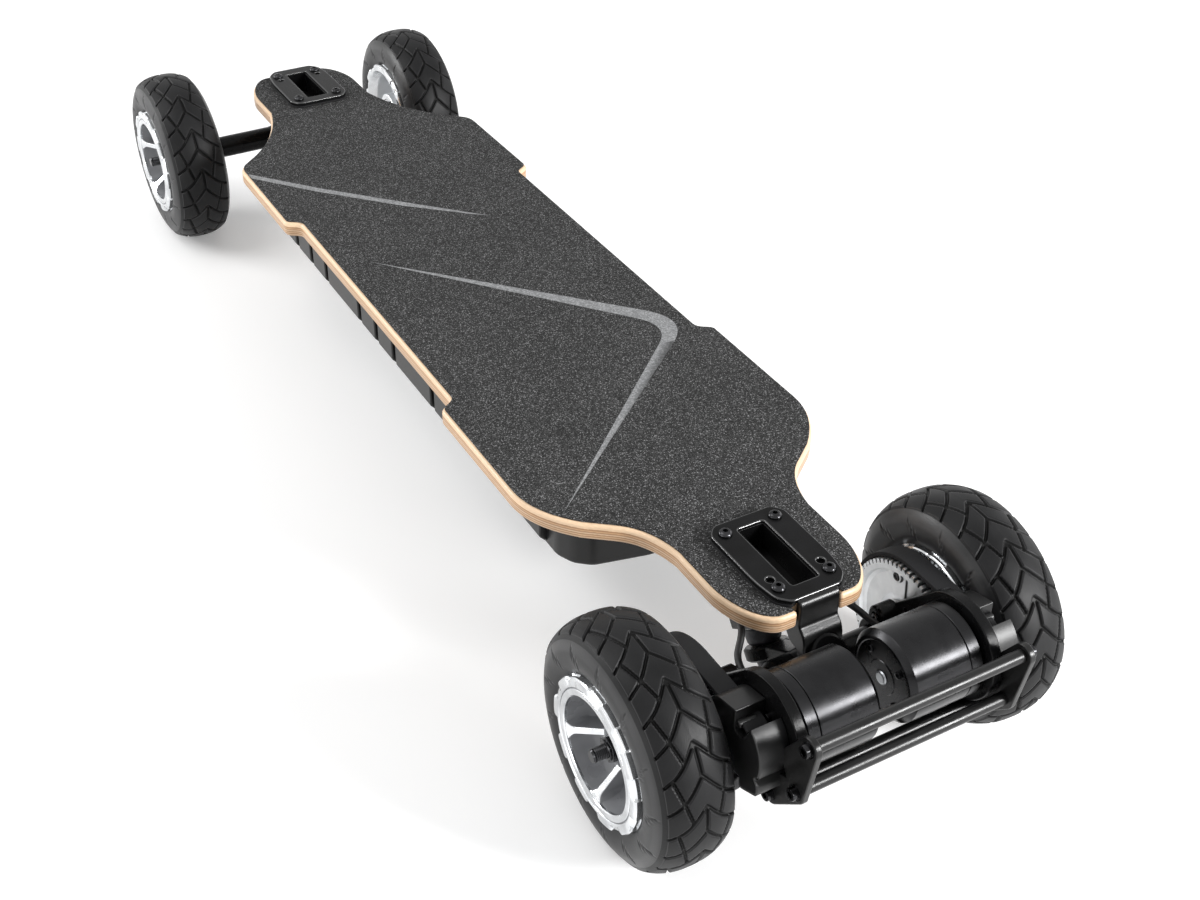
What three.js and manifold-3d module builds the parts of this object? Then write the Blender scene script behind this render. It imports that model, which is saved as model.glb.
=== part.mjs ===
// Electric mountainboard: a maple deck on two sprung steering trucks, four air tyres and a twin belt drive
// at the tail. Millimetres, +X right, +Y towards the nose, +Z up, standing on the tyres at z = 0.
import * as THREE from "three";
import { mergeVertices } from "three/addons/utils/BufferGeometryUtils.js";
import Module from "manifold-3d";

const wasm = await Module();
wasm.setup();

// Shared fits and roundness
const clearance = 0.3; // gap between neighbouring pieces
const overrun = 2; // how far a cut runs past the face that it opens
const edgeBreak = 1; // chamfer on cast and machined plates
const roundSides = 20;
const smallSides = 10;
const hexSides = 6;

// Overall layout
const wheelbase = 966;
const track = 270; // between the middle planes of the left and right wheels
const tyreRadius = 88;
const tyreSides = 24;
const axleHeight = tyreRadius * Math.cos(Math.PI / tyreSides);

// Deck
const deckThickness = 14;
const deckRise = 50.4; // axle centre up to the underside of the deck
const deckBeyondAxle = 7;
const deckEdgeRound = 3;
const waistHalf = 113;
const waistHalfLength = 160;
const stepLength = 11;
const wideHalf = 125;
const neckHalf = 56;
const neckLength = 38;
const cornerLength = 50;
const endHalf = 28;
const curveSteps = 5;
const gripThickness = 1;
const gripInset = 2;

// The deck's shoulders: share of the way out from the neck's side to the widest one, and back from the neck
const noseShoulder = [
  [1, 118],
  [1, 108],
  [0.92, 102],
  [0.81, 95],
  [0.2, 59],
];
const tailShoulder = [
  [1, 116],
  [1, 86],
  [0.6, 59],
  [0.3, 43],
  [0.06, 29],
];

// Truck baseplate, in the truck's own frame: x along the axle, y outboard along the board, z up
const plateThickness = 4;
const padThickness = 1.6;
const plateHalfWidth = 31;
const plateInboardHalf = 24;
const plateOutboardHalf = 20;
const plateCornerCut = 8;
const plateTaper = 3;
const plateShoulderLength = 27;
const plateInboard = 87;
const plateOutboard = 3;
const windowHalfWidth = 11;
const windowLength = 66;
const windowSetBack = 10; // from the axle back to the window
const boltSpacingAcross = 41.3;
const boltSpacingAlong = 63.5;
const boltCentreInboard = 44;
const extraHoleInset = 9.5;
const boltHoleRadius = 2.8;
const tongueHalfWidth = 16;
const tongueThickness = 6;
const notchSide = 1.5; // free space on each side of the tongue
const tongueGap = 1; // free space between the tongue and the notch
const tongueBend = 5;
const armThickness = 9;
const armLength = 82;
const blockDrop = 14;

// Steering axis: it drops from the pivot, outboard, to the bushing ring, inboard
const steeringSlope = THREE.MathUtils.degToRad(38);
const pivotOutboard = 17;
const pivotRise = 28.4;
const ringDistance = 75;
const bossRadius = 14;
const bossBack = 8;
const bossFront = 12;
const noseRadius = 6;
const noseTip = 4;
const cupWall = 3;

// Bushings and kingpin
const kingpinRadius = 4.75;
const kingpinHeadRadius = 8;
const kingpinHead = 6;
const kingpinLength = 58;
const ringRadius = 17;
const ringThickness = 10;
const ringBoreRadius = 7.6;
const upperBushingRadius = 13;
const lowerBushingRadius = 10.5;
const upperBushing = 14;
const lowerBushing = 11;
const cupWasher = 2;
const cupWasherRadius = 12.5;

// Hanger and axle
const hangerRadius = 11;
const hangerMiddleRadius = 14;
const hangerMiddleHalf = 24;
const hangerTaper = 10;
const webHalf = 10;
const hangerShoulder = 2;
const hangerSides = 14;
const axleRadius = 5;
const axleBeyondWheel = 33; // past the middle plane of the wheel
const nutAcrossFlats = 17;
const nutLength = 8;

// Wheels, in their own frame: x outboard from the middle plane
const tyreHalfWidth = 30;
const treadHalfWidth = 14;
const shoulderRadius = 80;
const bulgeRadius = 66;
const shoulderHalfWidth = 25.5;
const carcass = 6;
const beadHalf = 26;
const beadRadius = 46;
const lipRadius = 54;
const lipThickness = 3;
const lipTaper = 5;
const ringInner = 46.5;
const barrelInner = 41;
const dishFloor = 2;
const dishThickness = 5;
const hubRadius = 20;
const hubOutboard = 14;
const hubInboard = 27;
const bearingRadius = 14;
const bearingWidth = 8;
const spacerRadius = 9;
const spokeCount = 5;
const spokeWidth = 8;
const spokeHubDrop = 3;
const spokeRingDrop = 3;
const wheelSides = 18;

// Belt drive
const gearTeeth = 66;
const pulleyTeeth = 16;
const toothPitch = 4.95;
const toothDepth = 2.3;
const toothTipShare = 0.42;
const gearRadius = (gearTeeth * toothPitch) / (2 * Math.PI);
const pulleyRadius = (pulleyTeeth * toothPitch) / (2 * Math.PI);
const beltGap = 0.5;
const beltThickness = 3.2;
const beltWidth = 15;
const gearWidth = 20;
const gearRim = 5;
const gearWeb = 7;
const gearWebDrop = 2;
const gearHubRadius = 22;
const gearBoreRadius = 12.6;
const gearSetIn = 34.2; // from the middle plane of the wheel in to the gear
const gearFaceShown = 3;

// Motors and their mounts
const motorOutboard = 62.2;
const motorRise = 39.2;
const motorRadius = 32.5;
const motorInner = 11.7;
const motorChamfer = 2.5;
const motorBossRadius = 5;
const motorBoss = 1.5;
const motorEndRing = 8.5; // from the mount back to the groove
const grooveWidth = 1.4;
const grooveDepth = 1.2;
const motorCollarLength = 3.7;
const motorNeckRadius = 29.5;
const shaftRadius = 4;
const shaftDepth = 22;
const glandRadius = 5;
const glandLength = 6;
const glandSetBack = 15.7; // from the mount back to the gland of the lead
const glandTurn = THREE.MathUtils.degToRad(200);
const mountGap = 1.1; // between the mount and the driven gear
const mountThickness = 8;
const mountClampRadius = 19;
const mountFlangeRadius = 38;
const mountBossHole = 11;
const mountWindowPlace = 27; // from the axle towards the motor
const mountWindowRadius = 5;
const mountWindowHalf = 9;
const clampSleeveRadius = 16;
const clampSleeveLength = 14;
const clampEarRadius = 9;
const clampEarRise = 20;

// Pulley covers
const coverDepth = 22;
const coverWall = 2.3;
const coverRadius = 27;
const coverBlockBack = 28.2; // from the motor's axis towards the axle
const coverBlockRise = 21.8; // above the motor's axis
const corridorGap = 1.2; // free space round the belt
const coverPostRadius = 5;
const coverPostCircle = 30.5;
const coverPostTurns = [72, 100, -40].map(THREE.MathUtils.degToRad);

// Motor guard: three rods between two brackets, each [outboard, up] from the motor's axis
const rodRadius = 4.5;
const upperRod = [49, 29.3];
const lowerRod = [42, -14.8];
const innerRod = [18, -39];
const bracketThickness = 4.5;
const bracketLobe = 8;
const bracketPadTurns = [8, -52].map(THREE.MathUtils.degToRad);
const bracketPadCircle = 33;

// Enclosure under the deck
const trayHalfWidth = 96;
const trayDepth = 45;
const trayWall = 3;
const trayEdge = 4;
const trayBeforeNeck = 66; // from the tray's end to the deck's neck
const ribProud = 6;
const ribRise = 12; // tray floor up to the lowest edge of the ribs
const ribTopGap = 4;
const ribChamfer = 4;
const ribGap = 7;
const ribSetBack = 48.5; // from each end of the tray to its row of ribs
const longRibShare = 2.32; // a long rib's length for a short one's
const ribCount = 11;
const ribsPerGroup = 3;
const gasketThickness = 1.4;
const gasketWidth = 8;

// The tray's corners: in from its side, and back from its end
const trayCorner = [
  [0, 34],
  [6, 20],
  [18, 10],
  [62, 0],
];

// What the enclosure holds
const batteryHalfWidth = 72;
const batteryHeight = 34;
const controllerHalfWidth = 48;
const controllerLength = 150;
const controllerHeight = 24;
const wiringLength = 100; // from the tail wall to the controller
const innerGap = 4;
const buttonRadius = 8;
const buttonTravel = 2;
const buttonStemRadius = 5;
const buttonInside = 8;
const buttonHeight = 2;
const portRadius = 7;
const portProud = 2;
const portFlange = 3;
const portRise = -24; // below the underside of the deck
const portSpacing = 34;

// Motor leads, from a gland of the enclosure to each motor's. A point of their route is given by its share of
// the way across from one gland to the other, then its place outboard and up from the axle's middle
const leadRadius = 2.5;
const leadSides = 8;
const leadSteps = 22;
const leadAcross = 28;
const leadDrop = 16.6; // below the underside of the deck
const leadGland = 4;
const leadStraight = 12;
const leadRoute = [
  [0.07, -88, 42.8],
  [0.14, -48, 41.8],
  [0.36, -25, 32.8],
  [0.75, -12, 23.8],
  [0.89, 1, 20.8],
  [0.98, 15, 22.4],
];

// Finishes
const finishes = {
  maple: { color: 0xd6a468, roughness: 0.55, metalness: 0 },
  grit: { color: 0x3a3a3c, roughness: 0.95, metalness: 0 },
  blackPlastic: { color: 0x1c1c1e, roughness: 0.55, metalness: 0 },
  blackMetal: { color: 0x17181a, roughness: 0.42, metalness: 0.6 },
  rubber: { color: 0x1b1b1c, roughness: 0.8, metalness: 0 },
  polished: { color: 0xc9cbcd, roughness: 0.22, metalness: 1 },
  steel: { color: 0x8f9296, roughness: 0.32, metalness: 1 },
  gunmetal: { color: 0x34363a, roughness: 0.3, metalness: 0.8 },
  urethane: { color: 0x232326, roughness: 0.45, metalness: 0 },
  battery: { color: 0x2a4f8a, roughness: 0.6, metalness: 0 },
};

// Solids: every geometry is closed, with shared corners merged and empty triangles dropped
function solid(geometry) {
  const bare = new THREE.BufferGeometry();
  bare.setAttribute("position", geometry.getAttribute("position"));
  bare.setIndex(geometry.index);
  const merged = mergeVertices(bare);
  const corners = merged.index.array;
  const kept = [];
  for (let i = 0; i < corners.length; i += 3) {
    const [a, b, c] = [corners[i], corners[i + 1], corners[i + 2]];
    if (a !== b && b !== c && c !== a) kept.push(a, b, c);
  }
  return new wasm.Manifold(
    new wasm.Mesh({
      numProp: 3,
      vertProperties: merged.attributes.position.array,
      triVerts: new Uint32Array(kept),
    }),
  );
}

function geometryOf(body) {
  const mesh = body.getMesh();
  const geometry = new THREE.BufferGeometry();
  geometry.setAttribute("position", new THREE.BufferAttribute(mesh.vertProperties, 3));
  geometry.setIndex(new THREE.BufferAttribute(mesh.triVerts, 1));
  geometry.computeVertexNormals();
  return geometry;
}

function join(first, ...others) {
  return geometryOf(others.reduce((whole, other) => whole.add(solid(other)), solid(first)));
}

function cut(body, ...tools) {
  return geometryOf(tools.reduce((left, tool) => left.subtract(solid(tool)), solid(body)));
}

function piece(name, geometry, finish) {
  const mesh = new THREE.Mesh(geometryOf(solid(geometry)), new THREE.MeshStandardMaterial(finish));
  mesh.name = name;
  return mesh;
}

// A solid of revolution about X from a loop, or a line between two points of the axis, of [x, radius] points
function turned(profile, sides = roundSides) {
  const points = profile.map(([x, radius]) => new THREE.Vector2(radius, x));
  if (THREE.ShapeUtils.area(points) < 0) points.reverse();
  const closed = points[0].x === 0 && points.at(-1).x === 0;
  if (!closed) points.push(points[0].clone());
  const geometry = new THREE.LatheGeometry(points, sides, Math.PI / sides, 2 * Math.PI);
  return geometry.rotateZ(-Math.PI / 2);
}

function rod(radius, from, to, sides = smallSides) {
  const profile = [
    [from, 0],
    [from, radius],
    [to, radius],
    [to, 0],
  ];
  return turned(profile, sides);
}

// The cutting tool of a round hole, whose flats lie outside the named radius
function bore(radius, from, to, sides = roundSides) {
  return rod(radius / Math.cos(Math.PI / sides), from, to, sides);
}

function sleeve(inner, outer, from, to, sides = smallSides) {
  const opening = inner / Math.cos(Math.PI / sides);
  const profile = [
    [from, opening],
    [from, outer],
    [to, outer],
    [to, opening],
  ];
  return turned(profile, sides);
}

// Prisms: the outline is a list of points, and the prism runs between two places on the third axis
function prism(outline, from, to, holes, bevel) {
  const shape = new THREE.Shape(outline.map(([u, v]) => new THREE.Vector2(u, v)));
  for (const hole of holes) shape.holes.push(new THREE.Path(hole.map(([u, v]) => new THREE.Vector2(u, v))));
  const options = {
    depth: to - from - 2 * bevel,
    bevelEnabled: bevel > 0,
    bevelThickness: bevel,
    bevelSize: bevel,
    bevelOffset: -bevel,
    bevelSegments: 1,
  };
  return new THREE.ExtrudeGeometry(shape, options).translate(0, 0, from + bevel);
}

function prismZ(outline, from, to, { holes = [], bevel = 0 } = {}) {
  return prism(outline, from, to, holes, bevel);
}

// The outline lies in the YZ plane
function prismX(outline, from, to, { holes = [], bevel = 0 } = {}) {
  const turn = new THREE.Matrix4().makeBasis(
    new THREE.Vector3(0, 1, 0),
    new THREE.Vector3(0, 0, 1),
    new THREE.Vector3(1, 0, 0),
  );
  return prism(outline, from, to, holes, bevel).applyMatrix4(turn);
}

// Outlines
function arc([u, v], radius, from, to, steps) {
  return Array.from({ length: steps + 1 }, (_, i) => {
    const angle = from + ((to - from) * i) / steps;
    return [u + radius * Math.cos(angle), v + radius * Math.sin(angle)];
  });
}

function circle(centre, radius, sides = smallSides) {
  return arc(centre, radius, 0, 2 * Math.PI, sides).slice(0, -1);
}

function hole(centre, radius, sides = roundSides) {
  return circle(centre, radius / Math.cos(Math.PI / sides), sides);
}

// The outline round two circles and their outer tangents
function wrap(first, firstRadius, second, secondRadius, steps = smallSides) {
  const [du, dv] = [second[0] - first[0], second[1] - first[1]];
  const heading = Math.atan2(dv, du);
  const spread = Math.acos((firstRadius - secondRadius) / Math.hypot(du, dv));
  return [
    ...arc(second, secondRadius, heading - spread, heading + spread, Math.ceil(steps / 2)),
    ...arc(first, firstRadius, heading + spread, heading - spread + 2 * Math.PI, steps),
  ];
}

function rectangle(u0, u1, v0, v1) {
  return [
    [u0, v0],
    [u1, v0],
    [u1, v1],
    [u0, v1],
  ];
}

// A whole outline from its quarter at the right of the nose, and that of the tail where the two differ
function fourfold(nose, tail = nose) {
  const half = (quarter) => [...quarter, ...quarter.map(([x, y]) => [-x, y]).reverse()];
  return [...half(nose), ...half(tail).map(([x, y]) => [-x, -y])];
}

// Truck geometry: places along the steering axis and square to it
const axisIn = [-Math.cos(steeringSlope), -Math.sin(steeringSlope)];
const axisUp = [-Math.sin(steeringSlope), Math.cos(steeringSlope)];

// The [outboard, up] place that lies `down` along the steering axis from the pivot and `up` above it
function onAxis(down, up) {
  return [
    pivotOutboard + down * axisIn[0] + up * axisUp[0],
    pivotRise + down * axisIn[1] + up * axisUp[1],
  ];
}

// Turns a solid that was made along X to lie along a direction in the truck's middle plane
function aimed(geometry, [y, z], [directionY, directionZ]) {
  const along = new THREE.Vector3(0, directionY, directionZ);
  const side = new THREE.Vector3(1, 0, 0);
  const matrix = new THREE.Matrix4().makeBasis(along, side, along.clone().cross(side));
  return geometry.applyMatrix4(matrix).translate(0, y, z);
}

// Deck outline, drawn in by an inset, with the notch that each truck's tongue drops through
const deckHalfLength = wheelbase / 2 + deckBeyondAxle;
const neckEnd = deckHalfLength - cornerLength;
const neckStart = neckEnd - neckLength;
const notchHalf = tongueHalfWidth + notchSide;
const notchDepth = tongueThickness;

// Outline from the middle of the right side to the middle of one end
function deckQuarter(shoulder, inset) {
  const [waist, wide, neck] = [waistHalf, wideHalf, neckHalf].map((half) => half - inset);
  const end = deckHalfLength - inset;
  const [side, corner, run, runEnd, hollow] = shoulder.map(([share, back]) => [
    neck + share * (wide - neck),
    neckStart - back,
  ]);
  const path = new THREE.Path();
  path.moveTo(waist, 0);
  path.lineTo(waist, waistHalfLength);
  path.bezierCurveTo(
    waist,
    waistHalfLength + stepLength / 2,
    wide,
    waistHalfLength + stepLength / 2,
    wide,
    waistHalfLength + stepLength,
  );
  path.lineTo(...side);
  path.quadraticCurveTo(...corner, ...run);
  path.lineTo(...runEnd);
  path.quadraticCurveTo(...hollow, neck, neckStart);
  path.lineTo(neck, neckEnd);
  path.bezierCurveTo(neck, neckEnd + cornerLength / 2, (neck + endHalf) / 2, end, endHalf, end);
  path.lineTo(notchHalf + inset, end);
  path.lineTo(notchHalf + inset, deckHalfLength - notchDepth - inset);
  return path.getPoints(curveSteps).map(({ x, y }) => [x, y]);
}

function deckOutline(inset) {
  return fourfold(deckQuarter(noseShoulder, inset), deckQuarter(tailShoulder, inset));
}

// Places of the truck bolts, [across, outboard] from the axle
function boltPlaces() {
  const across = boltSpacingAcross / 2;
  const along = boltSpacingAlong / 2;
  return [-across, across].flatMap((x) => [-along, along].map((y) => [x, y - boltCentreInboard]));
}

function extraPlaces() {
  const outer = boltSpacingAlong / 2 - boltCentreInboard - extraHoleInset;
  return [-1, 1].map((side) => [(side * boltSpacingAcross) / 2, outer]);
}

function boltHoles(from, to) {
  return boltPlaces().map((place) => prismZ(circle(place, boltHoleRadius, smallSides / 2), from, to));
}

// The window of the baseplate, also cut through the deck below it
const windowOutline = rectangle(
  -windowHalfWidth,
  windowHalfWidth,
  -windowSetBack - windowLength,
  -windowSetBack,
);

// Moves cutting tools from the truck's frame to the nose or, turned round, to the tail of the deck
function atEnds(makeTools) {
  const nose = makeTools().map((tool) => tool.translate(0, wheelbase / 2, 0));
  const tail = makeTools().map((tool) => tool.translate(0, wheelbase / 2, 0).rotateZ(Math.PI));
  return [...nose, ...tail];
}

function makeDeck() {
  const board = prismZ(deckOutline(0), 0, deckThickness, { bevel: deckEdgeRound });
  const openings = () => [
    ...boltHoles(-overrun, deckThickness + overrun),
    prismZ(windowOutline, -overrun, deckThickness + overrun),
  ];
  const deck = piece("deck", cut(board, ...atEnds(openings)), finishes.maple);
  const sheet = prismZ(deckOutline(gripInset), 0, gripThickness);
  const sheetOpenings = () => [
    ...boltHoles(-overrun, gripThickness + overrun),
    prismZ(windowOutline, -overrun, gripThickness + overrun),
  ];
  const grip = piece("grip_tape", cut(sheet, ...atEnds(sheetOpenings)), finishes.grit);
  grip.position.z = deckThickness + clearance;
  const group = new THREE.Group();
  group.add(deck, grip);
  group.position.z = axleHeight + deckRise;
  return group;
}

// Enclosure: a hollow tray with ribbed sides, its gasket, and the battery and controller inside
const trayHalfLength = neckStart - trayBeforeNeck;
const trayTop = -gasketThickness - 2 * clearance; // below the underside of the deck
const trayFloor = trayTop - trayDepth + trayWall;

function trayOutline(inset) {
  const half = trayHalfWidth - inset;
  const end = trayHalfLength - inset;
  return fourfold(trayCorner.map(([across, back]) => [half - across, end - back]));
}

// From the nose, each group of ribs is a long one and two short ones, and the row is centred on the board
function ribPlaces() {
  const rowHalf = trayHalfLength - ribSetBack;
  const shares = Array.from({ length: ribCount }, (_, index) => (index % ribsPerGroup ? 1 : longRibShare));
  const ribbed = 2 * rowHalf - (ribCount - 1) * ribGap;
  const shortRib = ribbed / shares.reduce((sum, share) => sum + share);
  let start = rowHalf;
  return shares.map((share) => {
    const length = share * shortRib;
    const place = [start - length, start];
    start -= length + ribGap;
    return place;
  });
}

// A rib on the right side wall, with its outline in the plane across the board
function rib([from, to]) {
  const low = trayTop - trayDepth + ribRise;
  const outline = [
    [trayHalfWidth - trayWall / 2, low],
    [trayHalfWidth + ribProud - ribChamfer, low],
    [trayHalfWidth + ribProud, low + ribChamfer],
    [trayHalfWidth + ribProud, trayTop - ribTopGap],
    [trayHalfWidth - trayWall / 2, trayTop - ribTopGap],
  ];
  return prismZ(outline, -to, -from).rotateX(Math.PI / 2);
}

function makeTray() {
  const bottom = trayTop - trayDepth;
  const shell = prismZ(trayOutline(0), bottom, trayTop, { bevel: trayEdge });
  const rim = prismZ(trayOutline(0), trayTop - 2 * trayEdge, trayTop);
  const hollow = prismZ(trayOutline(trayWall), bottom + trayWall, trayTop + overrun);
  const gland = (across) => {
    const tube = rod(glandRadius, trayHalfLength - trayWall, trayHalfLength + leadGland);
    return aimed(tube, [0, -leadDrop], [-1, 0]).translate(across, 0, 0);
  };
  const ribs = ribPlaces().map(rib);
  const leftRibs = ribPlaces().map(([from, to]) => rib([-to, -from]).rotateZ(Math.PI));
  const holes = [
    [-portSpacing / 2, buttonStemRadius],
    [portSpacing / 2, portRadius],
  ].map(([x, radius]) =>
    aimed(
      bore(radius + clearance, trayHalfLength - 2 * trayWall, trayHalfLength + overrun, smallSides),
      [0, portRise],
      [1, 0],
    ).translate(x, 0, 0),
  );
  const walls = cut(join(shell, rim), hollow, ...holes);
  const whole = join(walls, gland(-leadAcross), gland(leadAcross), ...ribs, ...leftRibs);
  return piece("enclosure_tray", whole, finishes.blackPlastic);
}

function makeGasket() {
  const outline = prismZ(trayOutline(0), -gasketThickness - clearance, -clearance, {
    holes: [trayOutline(gasketWidth).reverse()],
  });
  return piece("enclosure_gasket", outline, finishes.rubber);
}

// Both on the tray's floor: the controller towards the tail, and the battery from there to the nose
function makeContents() {
  const bottom = trayFloor + clearance;
  const noseEnd = trayHalfLength - trayWall - buttonInside - innerGap;
  const controllerStart = wiringLength + trayWall - trayHalfLength;
  const controllerEnd = controllerStart + controllerLength;
  const batteryEnd = controllerEnd + innerGap;
  const battery = prismZ(
    rectangle(-batteryHalfWidth, batteryHalfWidth, batteryEnd, noseEnd),
    bottom,
    bottom + batteryHeight,
    { bevel: edgeBreak },
  );
  const controller = prismZ(
    rectangle(-controllerHalfWidth, controllerHalfWidth, controllerStart, controllerEnd),
    bottom,
    bottom + controllerHeight,
    { bevel: edgeBreak },
  );
  return [
    piece("battery_pack", battery, finishes.battery),
    piece("motor_controller", controller, finishes.steel),
  ];
}

// The power button, on its stem through the nose wall, and the stopper of the charging socket beside it
function makeControls() {
  const wall = trayHalfLength;
  const cap = [
    [wall - buttonInside, 0],
    [wall - buttonInside, buttonStemRadius],
    [wall + buttonTravel + clearance, buttonStemRadius],
    [wall + buttonTravel + clearance, buttonRadius],
    [wall + buttonTravel + clearance + buttonHeight, buttonRadius],
    [wall + buttonTravel + clearance + buttonHeight, 0],
  ];
  const stopper = [
    [wall - buttonInside, 0],
    [wall - buttonInside, portRadius],
    [wall + clearance, portRadius],
    [wall + clearance, portRadius + portFlange],
    [wall + clearance + portProud, portRadius + portFlange],
    [wall + clearance + portProud, 0],
  ];
  const facingNose = (profile) => aimed(turned(profile, smallSides), [0, portRise], [1, 0]);
  const button = piece("power_button", facingNose(cap), finishes.polished);
  button.position.x = -portSpacing / 2;
  const port = piece("charge_port_stopper", facingNose(stopper), finishes.rubber);
  port.position.x = portSpacing / 2;
  return [button, port];
}

function makeEnclosure() {
  const group = new THREE.Group();
  group.add(makeTray(), makeGasket(), ...makeContents(), ...makeControls());
  group.position.z = axleHeight + deckRise;
  return group;
}

// Baseplate: the bolted plate on the deck, the tongue through the notch, the pivot boss, and the arm below
// the deck with the kingpin's seat
const plateBottom = deckRise + deckThickness + gripThickness + padThickness + 3 * clearance;
const plateTop = plateBottom + plateThickness;
const ringCentre = onAxis(ringDistance, 0);
const seatUp = ringThickness / 2 + upperBushing + 2 * clearance;
const washerUp = -ringThickness / 2 - lowerBushing - 2 * clearance;
const kingpinTop = washerUp - cupWasher + kingpinLength;
const cupRadius = noseRadius + clearance + cupWall;

function plateOutline() {
  const half = [
    [plateOutboardHalf, plateOutboard],
    [plateHalfWidth - plateTaper, plateOutboard - plateCornerCut],
    [plateHalfWidth, plateOutboard - plateShoulderLength],
    [plateHalfWidth, plateCornerCut - plateInboard],
    [plateInboardHalf, -plateInboard],
  ];
  return [...half, ...half.map(([x, y]) => [-x, y]).reverse()];
}

function tongueOutline() {
  const inner = deckBeyondAxle - notchDepth + tongueGap;
  const outer = inner + tongueThickness;
  const armTop = deckRise - clearance;
  return [
    [inner - tongueThickness, plateBottom],
    [inner, plateBottom],
    [inner, armTop],
    [-armLength, armTop],
    [-armLength, armTop - blockDrop],
    onAxis(ringDistance + bossRadius, seatUp + bossRadius),
    onAxis(ringDistance + bossRadius, seatUp),
    onAxis(ringDistance - bossRadius, seatUp),
    [-armLength / 2, armTop - armThickness],
    [-armThickness, armTop - armThickness],
    onAxis(bossFront, bossRadius),
    [pivotOutboard, pivotRise],
    onAxis(-bossBack, bossRadius),
    [outer, deckRise],
    [outer, plateTop - tongueBend],
    [outer - tongueBend, plateTop],
    [inner - tongueThickness, plateTop],
  ];
}

function makeBaseplate(name) {
  const places = [...boltPlaces(), ...extraPlaces()];
  const holes = places.map((place) => circle(place, boltHoleRadius, smallSides / 2));
  const plate = prismZ(plateOutline(), plateBottom, plateTop, {
    holes: [windowOutline, ...holes],
  });
  const tongue = prismX(tongueOutline(), -tongueHalfWidth, tongueHalfWidth);
  const boss = aimed(rod(bossRadius, -bossBack, bossFront), onAxis(0, 0), axisIn);
  const cupRoom = bore(cupRadius + clearance, noseTip - clearance, bossFront + overrun);
  const cup = aimed(cupRoom, onAxis(0, 0), axisIn);
  const kingpinHole = aimed(
    bore(kingpinRadius + clearance, seatUp - overrun, kingpinTop + clearance),
    ringCentre,
    axisUp,
  );
  return piece(name, cut(join(plate, tongue, boss), cup, kingpinHole), finishes.blackMetal);
}

function makePad(name) {
  const holes = boltPlaces().map((place) => circle(place, boltHoleRadius, smallSides / 2));
  const bottom = deckRise + deckThickness + gripThickness + 2 * clearance;
  const top = bottom + padThickness;
  const sheet = prismZ(plateOutline(), bottom, top, { holes: [windowOutline, ...holes] });
  const notch = rectangle(-notchHalf, notchHalf, deckBeyondAxle - notchDepth, deckBeyondAxle);
  return piece(name, cut(sheet, prismZ(notch, bottom - overrun, top + overrun)), finishes.rubber);
}

// The kingpin with its head and cup washer, below the lower bushing
function makeKingpin(name) {
  const headTop = washerUp - cupWasher;
  const profile = [
    [headTop - kingpinHead, 0],
    [headTop - kingpinHead, kingpinHeadRadius],
    [headTop, kingpinHeadRadius],
    [headTop, cupWasherRadius],
    [washerUp, cupWasherRadius],
    [washerUp, kingpinRadius],
    [kingpinTop, kingpinRadius],
    [kingpinTop, 0],
  ];
  return piece(name, aimed(turned(profile, smallSides), ringCentre, axisUp), finishes.steel);
}

function makeBushings(upperName, lowerName) {
  const inner = kingpinRadius + clearance;
  const upper = sleeve(inner, upperBushingRadius, seatUp - clearance - upperBushing, seatUp - clearance);
  const lower = sleeve(inner, lowerBushingRadius, washerUp + clearance, washerUp + clearance + lowerBushing);
  return [
    piece(upperName, aimed(upper, ringCentre, axisUp), finishes.urethane),
    piece(lowerName, aimed(lower, ringCentre, axisUp), finishes.urethane),
  ];
}

function makePivotCup(name) {
  const liner = sleeve(noseRadius + clearance, cupRadius, noseTip, bossFront);
  return piece(name, aimed(liner, onAxis(0, 0), axisIn), finishes.urethane);
}

// Hanger: the axle tube, the web along the steering axis, the nose in the pivot cup and the bushing ring
const hangerHalf = track / 2 - hubInboard - clearance;

function makeHanger(name) {
  const profile = [
    [-hangerHalf, hangerRadius],
    [-hangerMiddleHalf - hangerTaper, hangerRadius],
    [-hangerMiddleHalf, hangerMiddleRadius],
    [hangerMiddleHalf, hangerMiddleRadius],
    [hangerMiddleHalf + hangerTaper, hangerRadius],
    [hangerHalf, hangerRadius],
    [hangerHalf, 0],
    [-hangerHalf, 0],
  ];
  const ringJoin = ringDistance - (ringRadius + ringBoreRadius) / 2;
  const noseJoin = bossFront + noseRadius + hangerShoulder;
  const inboardWeb = wrap([0, 0], hangerMiddleRadius, onAxis(ringJoin, 0), ringThickness / 2);
  const outboardWeb = wrap([0, 0], hangerMiddleRadius, onAxis(noseJoin, 0), noseRadius);
  const solids = [
    prismX(inboardWeb, -webHalf, webHalf),
    prismX(outboardWeb, -webHalf, webHalf),
    aimed(rod(noseRadius, noseTip, noseJoin), onAxis(0, 0), axisIn),
    aimed(rod(ringRadius, -ringThickness / 2, ringThickness / 2, roundSides), ringCentre, axisUp),
  ];
  const ringHole = aimed(bore(ringBoreRadius, -ringThickness, ringThickness), ringCentre, axisUp);
  const axleHole = bore(axleRadius + clearance, -hangerHalf - overrun, hangerHalf + overrun);
  const whole = join(turned(profile, hangerSides), ...solids);
  return piece(name, cut(whole, ringHole, axleHole), finishes.blackMetal);
}

function makeAxle(name) {
  const half = track / 2 + axleBeyondWheel;
  return piece(name, rod(axleRadius, -half, half), finishes.steel);
}

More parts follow.
